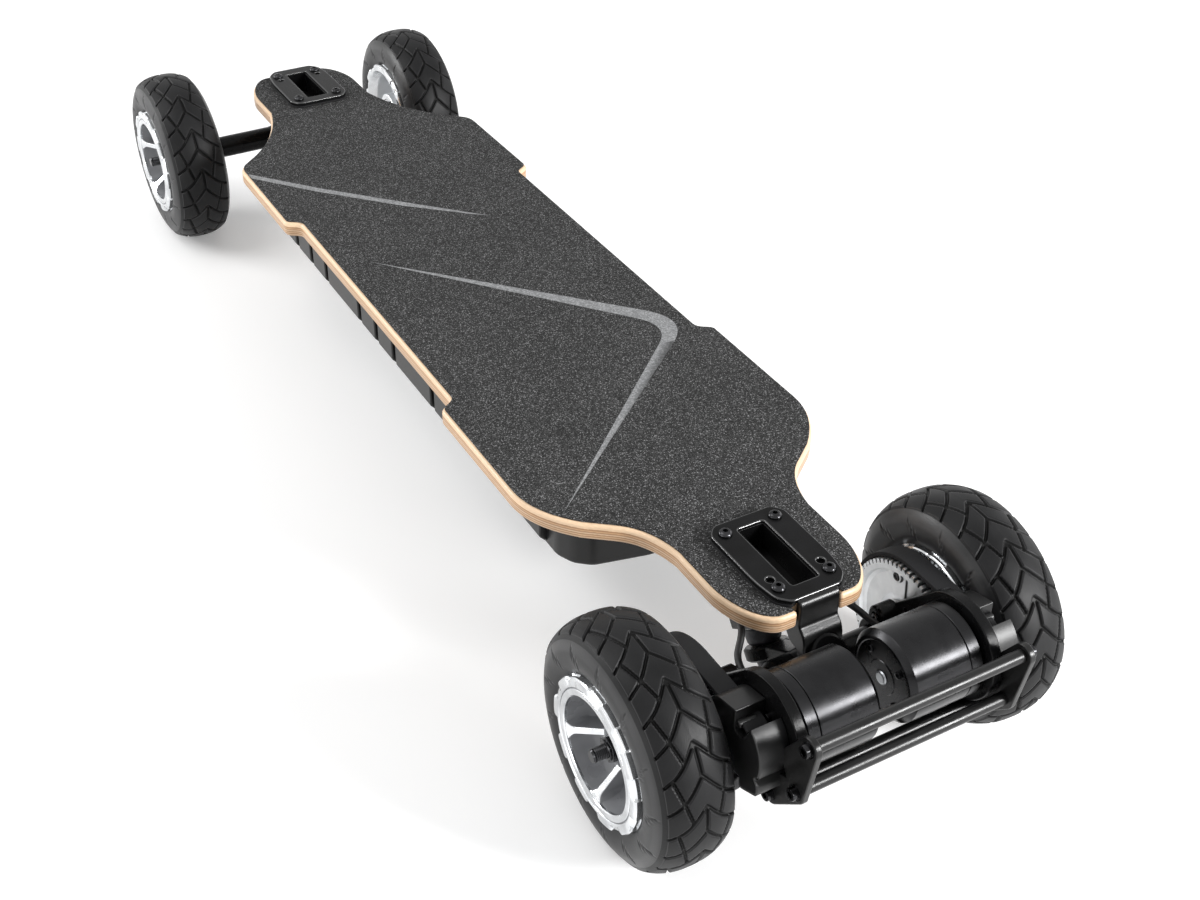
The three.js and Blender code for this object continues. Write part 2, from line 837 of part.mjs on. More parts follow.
// Each truck is built with +Y outboard, and the one at the tail is turned round
function makeTruck(end) {
  const place = end > 0 ? "front" : "rear";
  const group = new THREE.Group();
  group.add(
    makeBaseplate(`baseplate_${place}`),
    makePad(`riser_pad_${place}`),
    makeKingpin(`kingpin_${place}`),
    ...makeBushings(`bushing_upper_${place}`, `bushing_lower_${place}`),
    makePivotCup(`pivot_cup_${place}`),
    makeHanger(`hanger_${place}`),
    makeAxle(`axle_${place}`),
  );
  group.position.set(0, (end * wheelbase) / 2, axleHeight);
  group.rotation.z = end > 0 ? 0 : Math.PI;
  return group;
}

// Wheels, with +X outboard from the middle plane
const lipFace = beadHalf + lipThickness;

function mirrored(points) {
  return points.map(([x, radius]) => [-x, radius]).reverse();
}

function makeTyre(name) {
  const bead = beadHalf - clearance;
  const beadFoot = (beadRadius + clearance) / Math.cos(Math.PI / tyreSides);
  const outer = [
    [bead, beadFoot],
    [bead, lipRadius + 2 * clearance],
    [tyreHalfWidth, bulgeRadius],
    [shoulderHalfWidth, shoulderRadius],
    [treadHalfWidth, tyreRadius],
  ];
  const inner = [
    [treadHalfWidth - carcass / 2, tyreRadius - carcass],
    [tyreHalfWidth - carcass, bulgeRadius],
    [bead - carcass, beadFoot],
  ];
  const profile = [...outer, ...mirrored(outer), ...mirrored(inner), ...inner];
  return piece(name, turned(profile, tyreSides), finishes.rubber);
}

// One spoke, straight up from the hub to the barrel, with its outline in the plane of its length and the axle
function spoke(index) {
  const floor = dishFloor + dishThickness / 2;
  const outline = [
    [hubRadius - overrun, floor],
    [(barrelInner + beadRadius) / 2, floor],
    [(barrelInner + beadRadius) / 2, lipFace - spokeRingDrop],
    [barrelInner - overrun, lipFace - spokeRingDrop],
    [hubRadius - overrun, hubOutboard - spokeHubDrop],
  ];
  const turn = new THREE.Matrix4().makeBasis(
    new THREE.Vector3(0, 0, 1),
    new THREE.Vector3(1, 0, 0),
    new THREE.Vector3(0, 1, 0),
  );
  return prismZ(outline, -spokeWidth / 2, spokeWidth / 2)
    .applyMatrix4(turn)
    .rotateX((2 * Math.PI * index) / spokeCount);
}

function makeRim(name) {
  const opening = (bearingRadius + clearance) / Math.cos(Math.PI / wheelSides);
  const profile = [
    [hubOutboard, opening],
    [hubOutboard, hubRadius],
    [dishFloor + dishThickness, hubRadius],
    [dishFloor + dishThickness, barrelInner],
    [lipFace - lipTaper, barrelInner],
    [lipFace, ringInner],
    [lipFace, lipRadius],
    [beadHalf, lipRadius],
    [beadHalf, beadRadius],
    [-beadHalf, beadRadius],
    [-beadHalf, lipRadius],
    [-lipFace, lipRadius],
    [-lipFace, ringInner],
    [lipTaper - lipFace, barrelInner],
    [dishFloor, barrelInner],
    [dishFloor, hubRadius],
    [-hubInboard, hubRadius],
    [-hubInboard, opening],
  ];
  const spokes = Array.from({ length: spokeCount }, (_, index) => spoke(index));
  return piece(name, join(turned(profile, wheelSides), ...spokes), finishes.polished);
}

// The two bearings of a hub with the spacer tube between them
function makeBearing(name) {
  const opening = (axleRadius + clearance) / Math.cos(Math.PI / smallSides);
  const profile = [
    [-hubInboard, opening],
    [-hubInboard, bearingRadius],
    [bearingWidth - hubInboard, bearingRadius],
    [bearingWidth - hubInboard, spacerRadius],
    [hubOutboard - bearingWidth, spacerRadius],
    [hubOutboard - bearingWidth, bearingRadius],
    [hubOutboard, bearingRadius],
    [hubOutboard, opening],
  ];
  return piece(name, turned(profile, smallSides), finishes.steel);
}

function makeNut(name) {
  const corner = nutAcrossFlats / 2 / Math.cos(Math.PI / hexSides);
  const start = hubOutboard + clearance;
  const outline = circle([0, 0], corner, hexSides);
  const holes = [hole([0, 0], axleRadius + clearance, smallSides).reverse()];
  return piece(name, prismX(outline, start, start + nutLength, { holes }), finishes.blackMetal);
}

// The outline of a toothed wheel
function teeth(count, tipRadius) {
  const pitch = (2 * Math.PI) / count;
  return Array.from({ length: count }, (_, index) => [
    [tipRadius - toothDepth, index],
    [tipRadius, index + (1 - toothTipShare) / 2],
    [tipRadius, index + (1 + toothTipShare) / 2],
  ])
    .flat()
    .map(([radius, turn]) => [radius * Math.cos(turn * pitch), radius * Math.sin(turn * pitch)]);
}

// The driven gear, bolted to the inboard side of the hub
const gearInboard = track / 2 - gearSetIn - gearWidth;

function makeGear(name) {
  const face = gearInboard - track / 2;
  const rimInner = gearRadius - toothDepth - gearRim;
  const ring = prismX(teeth(gearTeeth, gearRadius), face, face + gearWidth, {
    holes: [circle([0, 0], rimInner, roundSides).reverse()],
  });
  const opening = gearBoreRadius / Math.cos(Math.PI / roundSides);
  const web = face + gearWebDrop;
  const profile = [
    [web, opening],
    [web, rimInner + gearRim / 2],
    [web + gearWeb, rimInner + gearRim / 2],
    [web + gearWeb, gearHubRadius],
    [-hubInboard - clearance, gearHubRadius],
    [-hubInboard - clearance, opening],
  ];
  return piece(name, join(ring, turned(profile)), finishes.polished);
}

function makeWheel(end, side) {
  const place = `${end > 0 ? "front" : "rear"}_${side > 0 ? "right" : "left"}`;
  const group = new THREE.Group();
  group.add(
    makeTyre(`tyre_${place}`),
    makeRim(`rim_${place}`),
    makeBearing(`hub_bearings_${place}`),
    makeNut(`axle_nut_${place}`),
  );
  if (end < 0) group.add(makeGear(`drive_gear_${side > 0 ? "right" : "left"}`));
  group.position.set((side * track) / 2, (end * wheelbase) / 2, axleHeight);
  group.rotation.z = side > 0 ? 0 : Math.PI;
  return group;
}

// Belt drive, in the frame of the truck at the tail, built on its +X side
const motorPlace = [motorOutboard, motorRise];
const mountOuter = gearInboard - mountGap;
const mountInner = mountOuter - mountThickness;
const beltInboard = gearInboard + gearFaceShown;
const beltOutboard = beltInboard + beltWidth;
const glandPlace = mountInner - glandSetBack;

// Places beside the motor's axis, [outboard, up] from the axle
function besideMotor([outboard, up]) {
  return [motorOutboard + outboard, motorRise + up];
}

function aroundMotor(radius, turn) {
  return besideMotor([radius * Math.cos(turn), radius * Math.sin(turn)]);
}

function beltLoop(offset) {
  return wrap([0, 0], gearRadius + offset, motorPlace, pulleyRadius + offset, roundSides + smallSides);
}

function makeBelt(name) {
  const holes = [beltLoop(beltGap).reverse()];
  const loop = prismX(beltLoop(beltGap + beltThickness), beltInboard, beltOutboard, { holes });
  return piece(name, loop, finishes.rubber);
}

// The motor's pulley and its shaft turn as one
function makePulley(name) {
  const toothed = prismX(teeth(pulleyTeeth, pulleyRadius), beltInboard, beltOutboard);
  const shaft = rod(shaftRadius, mountInner - shaftDepth + clearance, beltOutboard - overrun);
  return piece(name, join(toothed, shaft), finishes.steel);
}

function makeMotor(name) {
  const opening = (shaftRadius + clearance) / Math.cos(Math.PI / roundSides);
  const faceOuter = mountInner - clearance;
  const groove = mountInner - motorEndRing;
  const collar = mountInner - motorCollarLength;
  const profile = [
    [motorInner - motorBoss, 0],
    [motorInner - motorBoss, motorBossRadius],
    [motorInner, motorBossRadius],
    [motorInner, motorRadius - motorChamfer],
    [motorInner + motorChamfer, motorRadius],
    [groove, motorRadius],
    [groove, motorRadius - grooveDepth],
    [groove + grooveWidth, motorRadius - grooveDepth],
    [groove + grooveWidth, motorRadius],
    [collar, motorRadius],
    [collar, motorNeckRadius],
    [faceOuter, motorNeckRadius],
    [faceOuter, opening],
    [mountInner - shaftDepth, opening],
    [mountInner - shaftDepth, 0],
  ];
  const direction = [Math.cos(glandTurn), Math.sin(glandTurn)];
  const gland = aimed(
    rod(glandRadius, motorRadius - overrun, motorRadius + glandLength),
    [0, 0],
    direction,
  ).translate(glandPlace, 0, 0);
  return piece(name, join(turned(profile), gland), finishes.gunmetal);
}

// The mount clamps the hanger with a split sleeve and its ear, and carries the motor's face
function makeMount(name) {
  const reach = Math.hypot(...motorPlace);
  const [alongY, alongZ] = motorPlace.map((value) => value / reach);
  const windowAt = (shift) => [
    mountWindowPlace * alongY - shift * alongZ,
    mountWindowPlace * alongZ + shift * alongY,
  ];
  const outline = wrap([0, 0], mountClampRadius, motorPlace, mountFlangeRadius, roundSides);
  const [low, high] = [-mountWindowHalf, mountWindowHalf].map(windowAt);
  const holes = [
    hole(motorPlace, mountBossHole).reverse(),
    wrap(low, mountWindowRadius, high, mountWindowRadius).reverse(),
  ];
  const plate = prismX(outline, mountInner, mountOuter, { holes });
  const inner = mountInner - clampSleeveLength;
  const sleeveSolid = rod(clampSleeveRadius, inner, mountInner + overrun, roundSides);
  const ear = rod(clampEarRadius, inner, mountInner + overrun).translate(0, 0, clampEarRise);
  const opening = bore(hangerRadius + clearance, inner - overrun, mountOuter + overrun);
  return piece(name, cut(join(plate, sleeveSolid, ear), opening), finishes.blackMetal);
}

function coverPosts(radius, from, to) {
  return coverPostTurns.map((turn) => prismX(circle(aroundMotor(coverPostCircle, turn), radius), from, to));
}

// The cover over the pulley, open along the belt's way to the gear
function makeCover(name) {
  const from = mountOuter + clearance;
  const to = from + coverDepth;
  const round = prismX(circle(motorPlace, coverRadius, roundSides), from, to, { bevel: edgeBreak });
  const blockOutline = rectangle(
    motorOutboard - coverBlockBack,
    motorOutboard,
    motorRise,
    motorRise + coverBlockRise,
  );
  const block = prismX(blockOutline, from, to, { bevel: edgeBreak });
  const posts = coverPosts(coverPostRadius, from, to - coverWall);
  const freeSpace = beltGap + beltThickness + corridorGap;
  const corridor = prismX(beltLoop(freeSpace), from - overrun, to - coverWall);
  const gearRoom = prismX(circle([0, 0], gearRadius + freeSpace, roundSides), from - overrun, to + overrun);
  return piece(name, cut(join(round, block, ...posts), corridor, gearRoom), finishes.blackPlastic);
}

// The guard's side bracket lies on the mount and reaches round the cover to the three rods
function makeBracket(name) {
  const from = mountOuter + clearance;
  const to = from + bracketThickness;
  const [upperPad, lowerPad] = bracketPadTurns.map((turn) => aroundMotor(bracketPadCircle, turn));
  const [upper, lower, inner] = [upperRod, lowerRod, innerRod].map(besideMotor);
  const strips = [
    [upper, lower],
    [lower, inner],
    [upper, upperPad],
    [inner, lowerPad],
    [lower, upperPad],
    [lower, lowerPad],
  ].map(([first, second]) => prismX(wrap(first, bracketLobe, second, bracketLobe), from, to));
  const coverRoom = prismX(hole(motorPlace, coverRadius + clearance), from - overrun, to + overrun);
  const postRoom = coverPosts(coverPostRadius + clearance, from - overrun, to + overrun);
  return piece(name, cut(join(...strips), coverRoom, ...postRoom), finishes.blackMetal);
}

function makeGuardRod(name, place) {
  const bar = piece(name, rod(rodRadius, -mountOuter, mountOuter), finishes.blackMetal);
  bar.position.set(0, ...besideMotor(place));
  return bar;
}

// A motor lead, from the gland of the enclosure along its route to the gland of the motor
function makeLead(name) {
  const start = trayHalfLength + leadGland + clearance - wheelbase / 2;
  const rise = deckRise - leadDrop;
  const [endOutboard, endRise] = aroundMotor(motorRadius + glandLength + clearance, glandTurn);
  const points = [
    [leadAcross, start, rise],
    [leadAcross, start + leadStraight, rise],
    ...leadRoute.map(([share, ...place]) => [leadAcross + share * (glandPlace - leadAcross), ...place]),
    [glandPlace, endOutboard, endRise],
  ].map((point) => new THREE.Vector3(...point));
  const section = circle([0, 0], leadRadius, leadSides).map(([u, v]) => new THREE.Vector2(u, v));
  const extrudePath = new THREE.CatmullRomCurve3(points);
  const options = { steps: leadSteps, bevelEnabled: false, extrudePath };
  return piece(name, new THREE.ExtrudeGeometry(new THREE.Shape(section), options), finishes.rubber);
}

// The pieces of one side, mirrored for the other: turned round with the truck, its +X is the board's left
function makeDriveSide(side) {
  const place = side > 0 ? "right" : "left";
  const pulley = makePulley(`motor_pulley_${place}`);
  const motor = makeMotor(`motor_${place}`);
  for (const mesh of [pulley, motor]) mesh.position.set(0, motorOutboard, motorRise);
  const group = new THREE.Group();
  group.add(
    pulley,
    motor,
    makeBelt(`belt_${place}`),
    makeMount(`motor_mount_${place}`),
    makeCover(`pulley_cover_${place}`),
    makeBracket(`guard_bracket_${place}`),
    makeLead(`motor_lead_${place}`),
  );
  group.scale.x = -side;
  return group;
}

function makeDrive() {
  const group = new THREE.Group();
  group.add(
    makeDriveSide(1),
    makeDriveSide(-1),
    makeGuardRod("guard_rod_upper", upperRod),
    makeGuardRod("guard_rod_lower", lowerRod),
    makeGuardRod("guard_rod_inner", innerRod),
  );
  group.position.set(0, -wheelbase / 2, axleHeight);
  group.rotation.z = Math.PI;
  return group;
}

// The board is centred over the origin, with the lowest facets of the tyres at z = 0
function makeBoard() {
  const board = new THREE.Group();
  board.add(makeDeck(), makeEnclosure(), makeTruck(1), makeTruck(-1), makeDrive());
  for (const end of [1, -1]) for (const side of [1, -1]) board.add(makeWheel(end, side));
  const bounds = new THREE.Box3().setFromObject(board, true);
  const centre = bounds.getCenter(new THREE.Vector3());
  board.position.set(-centre.x, -centre.y, -bounds.min.z);
  return board;
}

const mountainboard = new THREE.Group();
mountainboard.add(makeBoard());
export default mountainboard;
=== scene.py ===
"""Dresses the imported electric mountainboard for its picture.

Each sub-assembly is a class that holds its sizes in millimetres, builds its skins with numpy and rides them on the
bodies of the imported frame. Each finish is a frozen dataclass named for the real material.
"""

import logging
import math
from dataclasses import dataclass, field
from enum import Enum
from functools import partial
from typing import Any, Sequence

import bpy
import numpy as np
from mathutils import Matrix, Vector
from mathutils.geometry import tessellate_polygon


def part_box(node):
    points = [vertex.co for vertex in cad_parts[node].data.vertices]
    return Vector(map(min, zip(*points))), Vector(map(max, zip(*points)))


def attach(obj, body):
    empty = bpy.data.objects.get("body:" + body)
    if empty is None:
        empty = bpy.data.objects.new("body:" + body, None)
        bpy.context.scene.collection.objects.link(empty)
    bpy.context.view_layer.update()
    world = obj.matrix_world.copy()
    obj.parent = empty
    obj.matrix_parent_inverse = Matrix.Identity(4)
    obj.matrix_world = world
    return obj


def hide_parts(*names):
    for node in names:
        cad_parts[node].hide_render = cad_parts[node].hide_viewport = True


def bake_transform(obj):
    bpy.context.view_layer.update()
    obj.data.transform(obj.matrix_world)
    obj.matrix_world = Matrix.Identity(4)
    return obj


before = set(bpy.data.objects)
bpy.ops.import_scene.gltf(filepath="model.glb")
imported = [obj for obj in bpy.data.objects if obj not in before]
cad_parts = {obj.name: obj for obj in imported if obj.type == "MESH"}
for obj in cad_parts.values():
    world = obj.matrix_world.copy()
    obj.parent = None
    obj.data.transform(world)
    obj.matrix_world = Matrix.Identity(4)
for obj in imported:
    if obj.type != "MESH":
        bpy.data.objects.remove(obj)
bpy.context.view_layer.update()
MM = 0.001  # a millimetre in Blender's metres
TINY = 1e-9  # keeps a division by a length away from zero
Node, Socket = bpy.types.Node, bpy.types.NodeSocket
log = logging.getLogger("mountainboard")


class End(Enum):
    """The two ends of the board, with the sign of their place along it."""

    REAR = -1
    FRONT = 1


class Side(Enum):
    """The rider's left and right when the nose points ahead, with the sign of X."""

    LEFT = -1
    RIGHT = 1


# Skins


@dataclass
class Skin:
    """A set of closed surfaces.

    Args:
        points: corner points, one row each, in millimetres.
        faces: arrays of three or four corner numbers a row.
        zones: for each array of faces, the finish number of each face.
        marks: a value from 0 to 1 at each point, which a finish may read as its "mark" attribute.
    """

    points: np.ndarray
    faces: list[np.ndarray]
    zones: list[np.ndarray] = field(default_factory=list)
    marks: np.ndarray | None = None

    def __post_init__(self) -> None:
        """Fills in zones and marks that were left out."""
        if not self.zones:
            self.zones = [np.zeros(len(rows), int) for rows in self.faces]
        if self.marks is None:
            self.marks = np.zeros(len(self.points))

    def volume(self) -> float:
        """Sums the signed tetrahedra between the origin and each face's fan of triangles.

        Returns:
            The volume, negative where the faces look inwards.
        """
        total = 0.0
        for rows in self.faces:
            corners = self.points[rows]
            for k in range(1, rows.shape[1] - 1):
                total += np.einsum("ij,ij->", corners[:, 0], np.cross(corners[:, k], corners[:, k + 1]))
        return total / 6

    def outward(self) -> "Skin":
        """Turns every face round if the enclosed volume comes out negative.

        Returns:
            The same skin.
        """
        if self.volume() < 0:
            self.faces = [rows[:, ::-1] for rows in self.faces]
        return self

    def zoned(self, zone: int) -> "Skin":
        """Gives every face one finish number."""
        self.zones = [np.full(len(rows), zone) for rows in self.faces]
        return self

    def mapped(self, axes: np.ndarray, origin: Sequence[float] = (0, 0, 0)) -> "Skin":
        """Places the skin: a point p goes to origin + p times the rows of axes."""
        points = self.points @ np.asarray(axes, float) + np.asarray(origin, float)
        return Skin(points, self.faces, self.zones, self.marks).outward()

    def at(self, *origin: float) -> "Skin":
        """Moves the skin without turning it."""
        return self.mapped(np.eye(3), origin)

    def flipped(self) -> "Skin":
        """Mirrors the skin across the plane x = 0."""
        return self.mapped(np.diag([-1, 1, 1]))

    def around(self) -> tuple[np.ndarray, np.ndarray]:
        """Each point's angle and radius round the X axis."""
        return np.arctan2(self.points[:, 2], self.points[:, 1]), np.hypot(self.points[:, 1], self.points[:, 2])

    def marked(self) -> "Skin":
        """Marks each point with its radius round the X axis, 100 mm being 1."""
        self.marks = self.around()[1] / 100
        return self

    def poled(self, ends: np.ndarray, sides: int, zones: Sequence[int] = (0, 0)) -> "Skin":
        """Closes the first and last ring of a tube with fans of triangles to two poles.

        Args:
            ends: the two poles.
            sides: how many points a ring has.
            zones: the finish numbers of the two fans.

        Returns:
            The closed skin.
        """
        count = len(self.points)
        j = np.arange(sides)
        k, pole, last = (j + 1) % sides, np.full(sides, count), count - sides
        points = np.concatenate([self.points, ends])
        fans = [np.stack([pole, k, j], -1), np.stack([pole + 1, last + j, last + k], -1)]
        return Skin(points, self.faces + fans, self.zones + [np.full(sides, zone) for zone in zones]).outward()


def unit(vectors: np.ndarray) -> np.ndarray:
    """Brings each row to the length 1."""
    return vectors / np.maximum(np.linalg.norm(vectors, axis=1, keepdims=True), TINY)


def whole_turn(steps: int) -> np.ndarray:
    """The angles of even steps round a circle, in radians, from 0."""
    return 2 * math.pi * np.arange(steps) / steps


def joined(skins: Sequence[Skin]) -> Skin:
    """Puts several skins in one, each still closed by itself.

    Args:
        skins: the skins.

    Returns:
        One skin with the finish numbers and marks of all.
    """
    starts = np.cumsum([0] + [len(skin.points) for skin in skins])
    faces = [rows + start for skin, start in zip(skins, starts) for rows in skin.faces]
    zones = [zone for skin in skins for zone in skin.zones]
    points = np.concatenate([skin.points for skin in skins])
    return Skin(points, faces, zones, np.concatenate([skin.marks for skin in skins]))


def grid(points: np.ndarray, around: bool = True, along: bool = True, zones: np.ndarray | None = None) -> Skin:
    """Joins a grid of points with quads.

    Args:
        points: rows by columns by three.
        around: whether the last row meets the first.
        along: whether the last column meets the first.
        zones: a finish number for each quad, or none.

    Returns:
        The skin, which is closed where both directions meet themselves.
    """
    rows, columns = points.shape[:2]
    i, j = np.meshgrid(
        np.arange(rows if around else rows - 1), np.arange(columns if along else columns - 1), indexing="ij"
    )
    k, m = (i + 1) % rows, (j + 1) % columns
    quads = np.stack([i * columns + j, k * columns + j, k * columns + m, i * columns + m], -1).reshape(-1, 4)
    found = [] if zones is None else [zones[: i.shape[0], : i.shape[1]].reshape(-1)]
    return Skin(points.reshape(-1, 3), [quads], found)


def arc(centre: Sequence[float], radius: float, start: float, stop: float, steps: int) -> np.ndarray:
    """Points on a circle from one angle to another, in degrees, both ends included."""
    angles = np.radians(np.linspace(start, stop, steps + 1))
    return np.asarray(centre, float) + radius * np.stack([np.cos(angles), np.sin(angles)], -1)


def circle(centre: Sequence[float], radius: float, steps: int) -> np.ndarray:
    """A whole circle, its end left out."""
    return arc(centre, radius, 0, 360, steps)[:-1]


def polar(radius: float, turn: float) -> np.ndarray:
    """The place on a circle round the origin at an angle in degrees."""
    return radius * np.array([math.cos(math.radians(turn)), math.sin(math.radians(turn))])


def bezier(*points: tuple[float, float], steps: int = 10) -> np.ndarray:
    """A curve that leaves the first point towards the second and reaches the last from the one before it: at a share
    u of the way, every leg of the outline is cut at u, then every leg between the cuts, until one point is left.

    Args:
        points: the outline that leads the curve.
        steps: how many steps it gets.

    Returns:
        The curve's points, both ends included.
    """
    u = np.linspace(0, 1, steps + 1)[None, :, None]
    legs = np.array(points, float)[:, None]
    while len(legs) > 1:
        legs = legs[:-1] * (1 - u) + legs[1:] * u
    return legs[0]


def wrap(first: Sequence[float], r1: float, second: Sequence[float], r2: float, steps: int) -> np.ndarray:
    """The outline round two circles: the outer tangents touch them where the angle from their centre line is
    acos((r1 - r2) / distance), and arcs join the tangents' ends.

    Args:
        first: the first circle's middle.
        r1: its radius.
        second: the second one's middle.
        r2: its radius.
        steps: the steps of each arc.

    Returns:
        The outline's points.
    """
    step = np.subtract(second, first)
    heading = math.degrees(math.atan2(step[1], step[0]))
    spread = math.degrees(math.acos((r1 - r2) / float(np.hypot(*step))))
    far = arc(second, r2, heading - spread, heading + spread, steps)
    near = arc(first, r1, heading + spread, heading - spread + 360, steps)
    return np.concatenate([far, near])


def rounded(
    corners: Sequence[Sequence[float]], radius: float | Sequence[float], steps: int = 3, closed: bool = True
) -> np.ndarray:
    """Rounds each corner V of an outline with the curve (1-u)^2 A + 2u(1-u) V + u^2 B, whose ends A and B lie the
    radius away from V towards its neighbours, or nearly halfway if that is nearer.

    Args:
        corners: the outline's corner points.
        radius: one radius, or one for each corner.
        steps: how many steps each corner gets.
        closed: whether the outline closes on itself, or keeps its two ends.

    Returns:
        The rounded outline.
    """
    v = np.asarray(corners, float)
    r = np.broadcast_to(np.asarray(radius, float), len(v))
    before, after = np.roll(v, 1, 0) - v, np.roll(v, -1, 0) - v
    lengths = [np.linalg.norm(step, axis=1, keepdims=True) for step in (before, after)]
    ends = [
        v + step * np.minimum(r[:, None] / np.maximum(size, TINY), 0.48) for step, size in zip((before, after), lengths)
    ]
    u = np.linspace(0, 1, steps + 1)[None, :, None]
    curve = (1 - u) ** 2 * ends[0][:, None] + 2 * u * (1 - u) * v[:, None] + u**2 * ends[1][:, None]
    if closed:
        return curve.reshape(-1, 2)
    return np.concatenate([v[:1], curve[1:-1].reshape(-1, 2), v[-1:]])


def turned(profile: np.ndarray | Sequence[Sequence[float]], sides: int) -> Skin:
    """Turns a profile of [x, radius] points about the X axis.

    Each profile point makes a ring x, radius cos a, radius sin a. A profile that starts and ends on the axis gets a
    fan of triangles to each pole, and any other closes on itself.

    Args:
        profile: the points, in order, with a third column where the stretch after a point has a finish number.
        sides: how many steps go round.

    Returns:
        The closed skin.
    """
    profile = np.asarray(profile, float)
    poles = profile[0, 1] == 0 and profile[-1, 1] == 0
    body = profile[1:-1] if poles else profile
    angles = whole_turn(sides)
    ring = np.stack([np.cos(angles), np.sin(angles)], -1)
    points = np.empty((len(body), sides, 3))
    points[..., 0] = body[:, :1]
    points[..., 1:] = body[:, 1][:, None, None] * ring
    number = profile[:, 2].astype(int) if profile.shape[1] > 2 else np.zeros(len(profile), int)
    zones = (number[1:] if poles else number)[:, None].repeat(sides, 1)
    skin = grid(points, around=not poles, zones=zones)
    if poles:
        ends = np.array([[profile[0, 0], 0, 0], [profile[-1, 0], 0, 0]])
        return skin.poled(ends, sides, (number[0], number[-2]))
    return skin.outward()


def inset(loop: np.ndarray, amount: float) -> np.ndarray:
    """Moves each corner of a loop to its left by an amount, along the mitre of its two edges' normals n1 and n2:
    (n1 + n2) / (1 + n1 . n2).

    Args:
        loop: the loop's corners.
        amount: how far they move.

    Returns:
        The moved corners.
    """
    edge = np.roll(loop, -1, 0) - loop
    normal = unit(np.stack([-edge[:, 1], edge[:, 0]], -1))
    last = np.roll(normal, 1, 0)
    spread = np.maximum(1 + np.sum(normal * last, 1, keepdims=True), 0.3)
    return loop + amount * (normal + last) / spread


def area(loop: np.ndarray) -> float:
    """The signed area of a loop by the shoelace sum, positive when it runs anticlockwise."""
    x, y = loop.T
    return 0.5 * float(np.dot(x, np.roll(y, -1)) - np.dot(y, np.roll(x, -1)))


def plate(
    loops: Sequence[np.ndarray], low: float, high: float, edge: float, steps: int, edge_zone: int = 0
) -> Skin:
    """A flat plate with rounded edges and holes.

    A row at angle a of the quarter circle into a face is drawn in by edge (1 - cos a) and lies edge (1 - sin a)
    short of the face.

    Args:
        loops: the outline, then its holes, as [u, v] points.
        low: where the plate starts on the third axis.
        high: where it ends.
        edge: the radius of the rounding.
        steps: the steps of the rounding.
        edge_zone: the finish number of the rounded stretches.

    Returns:
        The closed skin, with the plate's outline in its first two coordinates.
    """
    angles = np.radians(np.linspace(90, 0, steps + 1))
    rows = [(edge * (1 - math.cos(a)), low + edge * (1 - math.sin(a))) for a in angles]
    rows += [(draw, low + high - height) for draw, height in reversed(rows)]
    zones = [edge_zone if k < steps or k > steps else 0 for k in range(len(rows) - 1)]
    return stacked(loops, rows, zones)


# Where a skin's own X, Y and Z go: a plate's outline to Y and Z and its thickness to X, a turned skin's axis upwards,
# downwards, to the nose or to the tail, and a section across the board with its thickness along it
ACROSS = np.array([[0, 1, 0], [0, 0, 1], [1, 0, 0]])
UPWARD = np.array([[0, 0, 1], [1, 0, 0], [0, 1, 0]])
DOWNWARD = np.array([[0, 0, -1], [1, 0, 0], [0, 1, 0]])
NOSEWARD = np.array([[0, 1, 0], [1, 0, 0], [0, 0, 1]])
TAILWARD = np.array([[0, -1, 0], [1, 0, 0], [0, 0, 1]])
SECTION = np.array([[1, 0, 0], [0, 0, 1], [0, 1, 0]])


def slab(loops: Sequence[np.ndarray], low: float, high: float, edge: float, steps: int = 3) -> Skin:
    """A plate that stands square to the axle: its outline is [y, z] and its thickness lies on X."""
    return plate(loops, low, high, edge, steps).mapped(ACROSS)


def aimed(skin: Skin, place: Sequence[float], direction: Sequence[float]) -> Skin:
    """Turns a skin made along X to lie along a direction of the YZ plane from a place in it."""
    dy, dz = np.asarray(direction, float) / math.hypot(*direction)
    return skin.mapped(np.array([[0, dy, dz], [1, 0, 0], [0, dz, -dy]]), (0, place[0], place[1]))


def swept(path: np.ndarray, radius: float, sides: int) -> Skin:
    """A round tube along a path, with flat ends.

    At each point of the path a ring of the radius stands square to the tangent t: its axes are t x X, made unit
    length, and their cross product with t.

    Args:
        path: the points that the tube follows.
        radius: its radius.
        sides: its sides.

    Returns:
        The closed skin.
    """
    tangent = unit(np.gradient(path, axis=0))
    first = unit(np.cross(tangent, [1.0, 0, 0]))
    second = np.cross(tangent, first)
    angle = whole_turn(sides)
    ring = np.cos(angle)[None, :, None] * first[:, None] + np.sin(angle)[None, :, None] * second[:, None]
    return grid(path[:, None] + radius * ring, around=False).poled(path[[0, -1]], sides)


def curve_through(points: np.ndarray, steps: int) -> np.ndarray:
    """A smooth curve through points: between each pair p1 and p2, the cubic whose slopes there are half of p2 - p0
    and half of p3 - p1.

    Args:
        points: the points, in order.
        steps: how many steps each stretch gets.

    Returns:
        The curve's points.
    """
    p = np.concatenate([2 * points[:1] - points[1:2], points, 2 * points[-1:] - points[-2:-1]])
    u = np.linspace(0, 1, steps, endpoint=False)[None, :, None]
    p0, p1, p2, p3 = (p[k : len(p) - 3 + k][:, None] for k in range(4))
    curve = 0.5 * (2 * p1 + (p2 - p0) * u + (2 * p0 - 5 * p1 + 4 * p2 - p3) * u**2 + (3 * p1 - p0 - 3 * p2 + p3) * u**3)
    return np.concatenate([curve.reshape(-1, points.shape[1]), points[-1:]])


def evenly(path: np.ndarray, spacing: float) -> np.ndarray:
    """Points along a path, a spacing apart by its length.

    Args:
        path: the path's points.
        spacing: how far apart the new points lie.

    Returns:
        The new points.
    """
    along = np.concatenate([[0], np.cumsum(np.linalg.norm(np.diff(path, axis=0), axis=1))])
    at = np.linspace(0, along[-1], max(2, round(along[-1] / spacing) + 1))
    return np.stack([np.interp(at, along, path[:, k]) for k in range(path.shape[1])], -1)


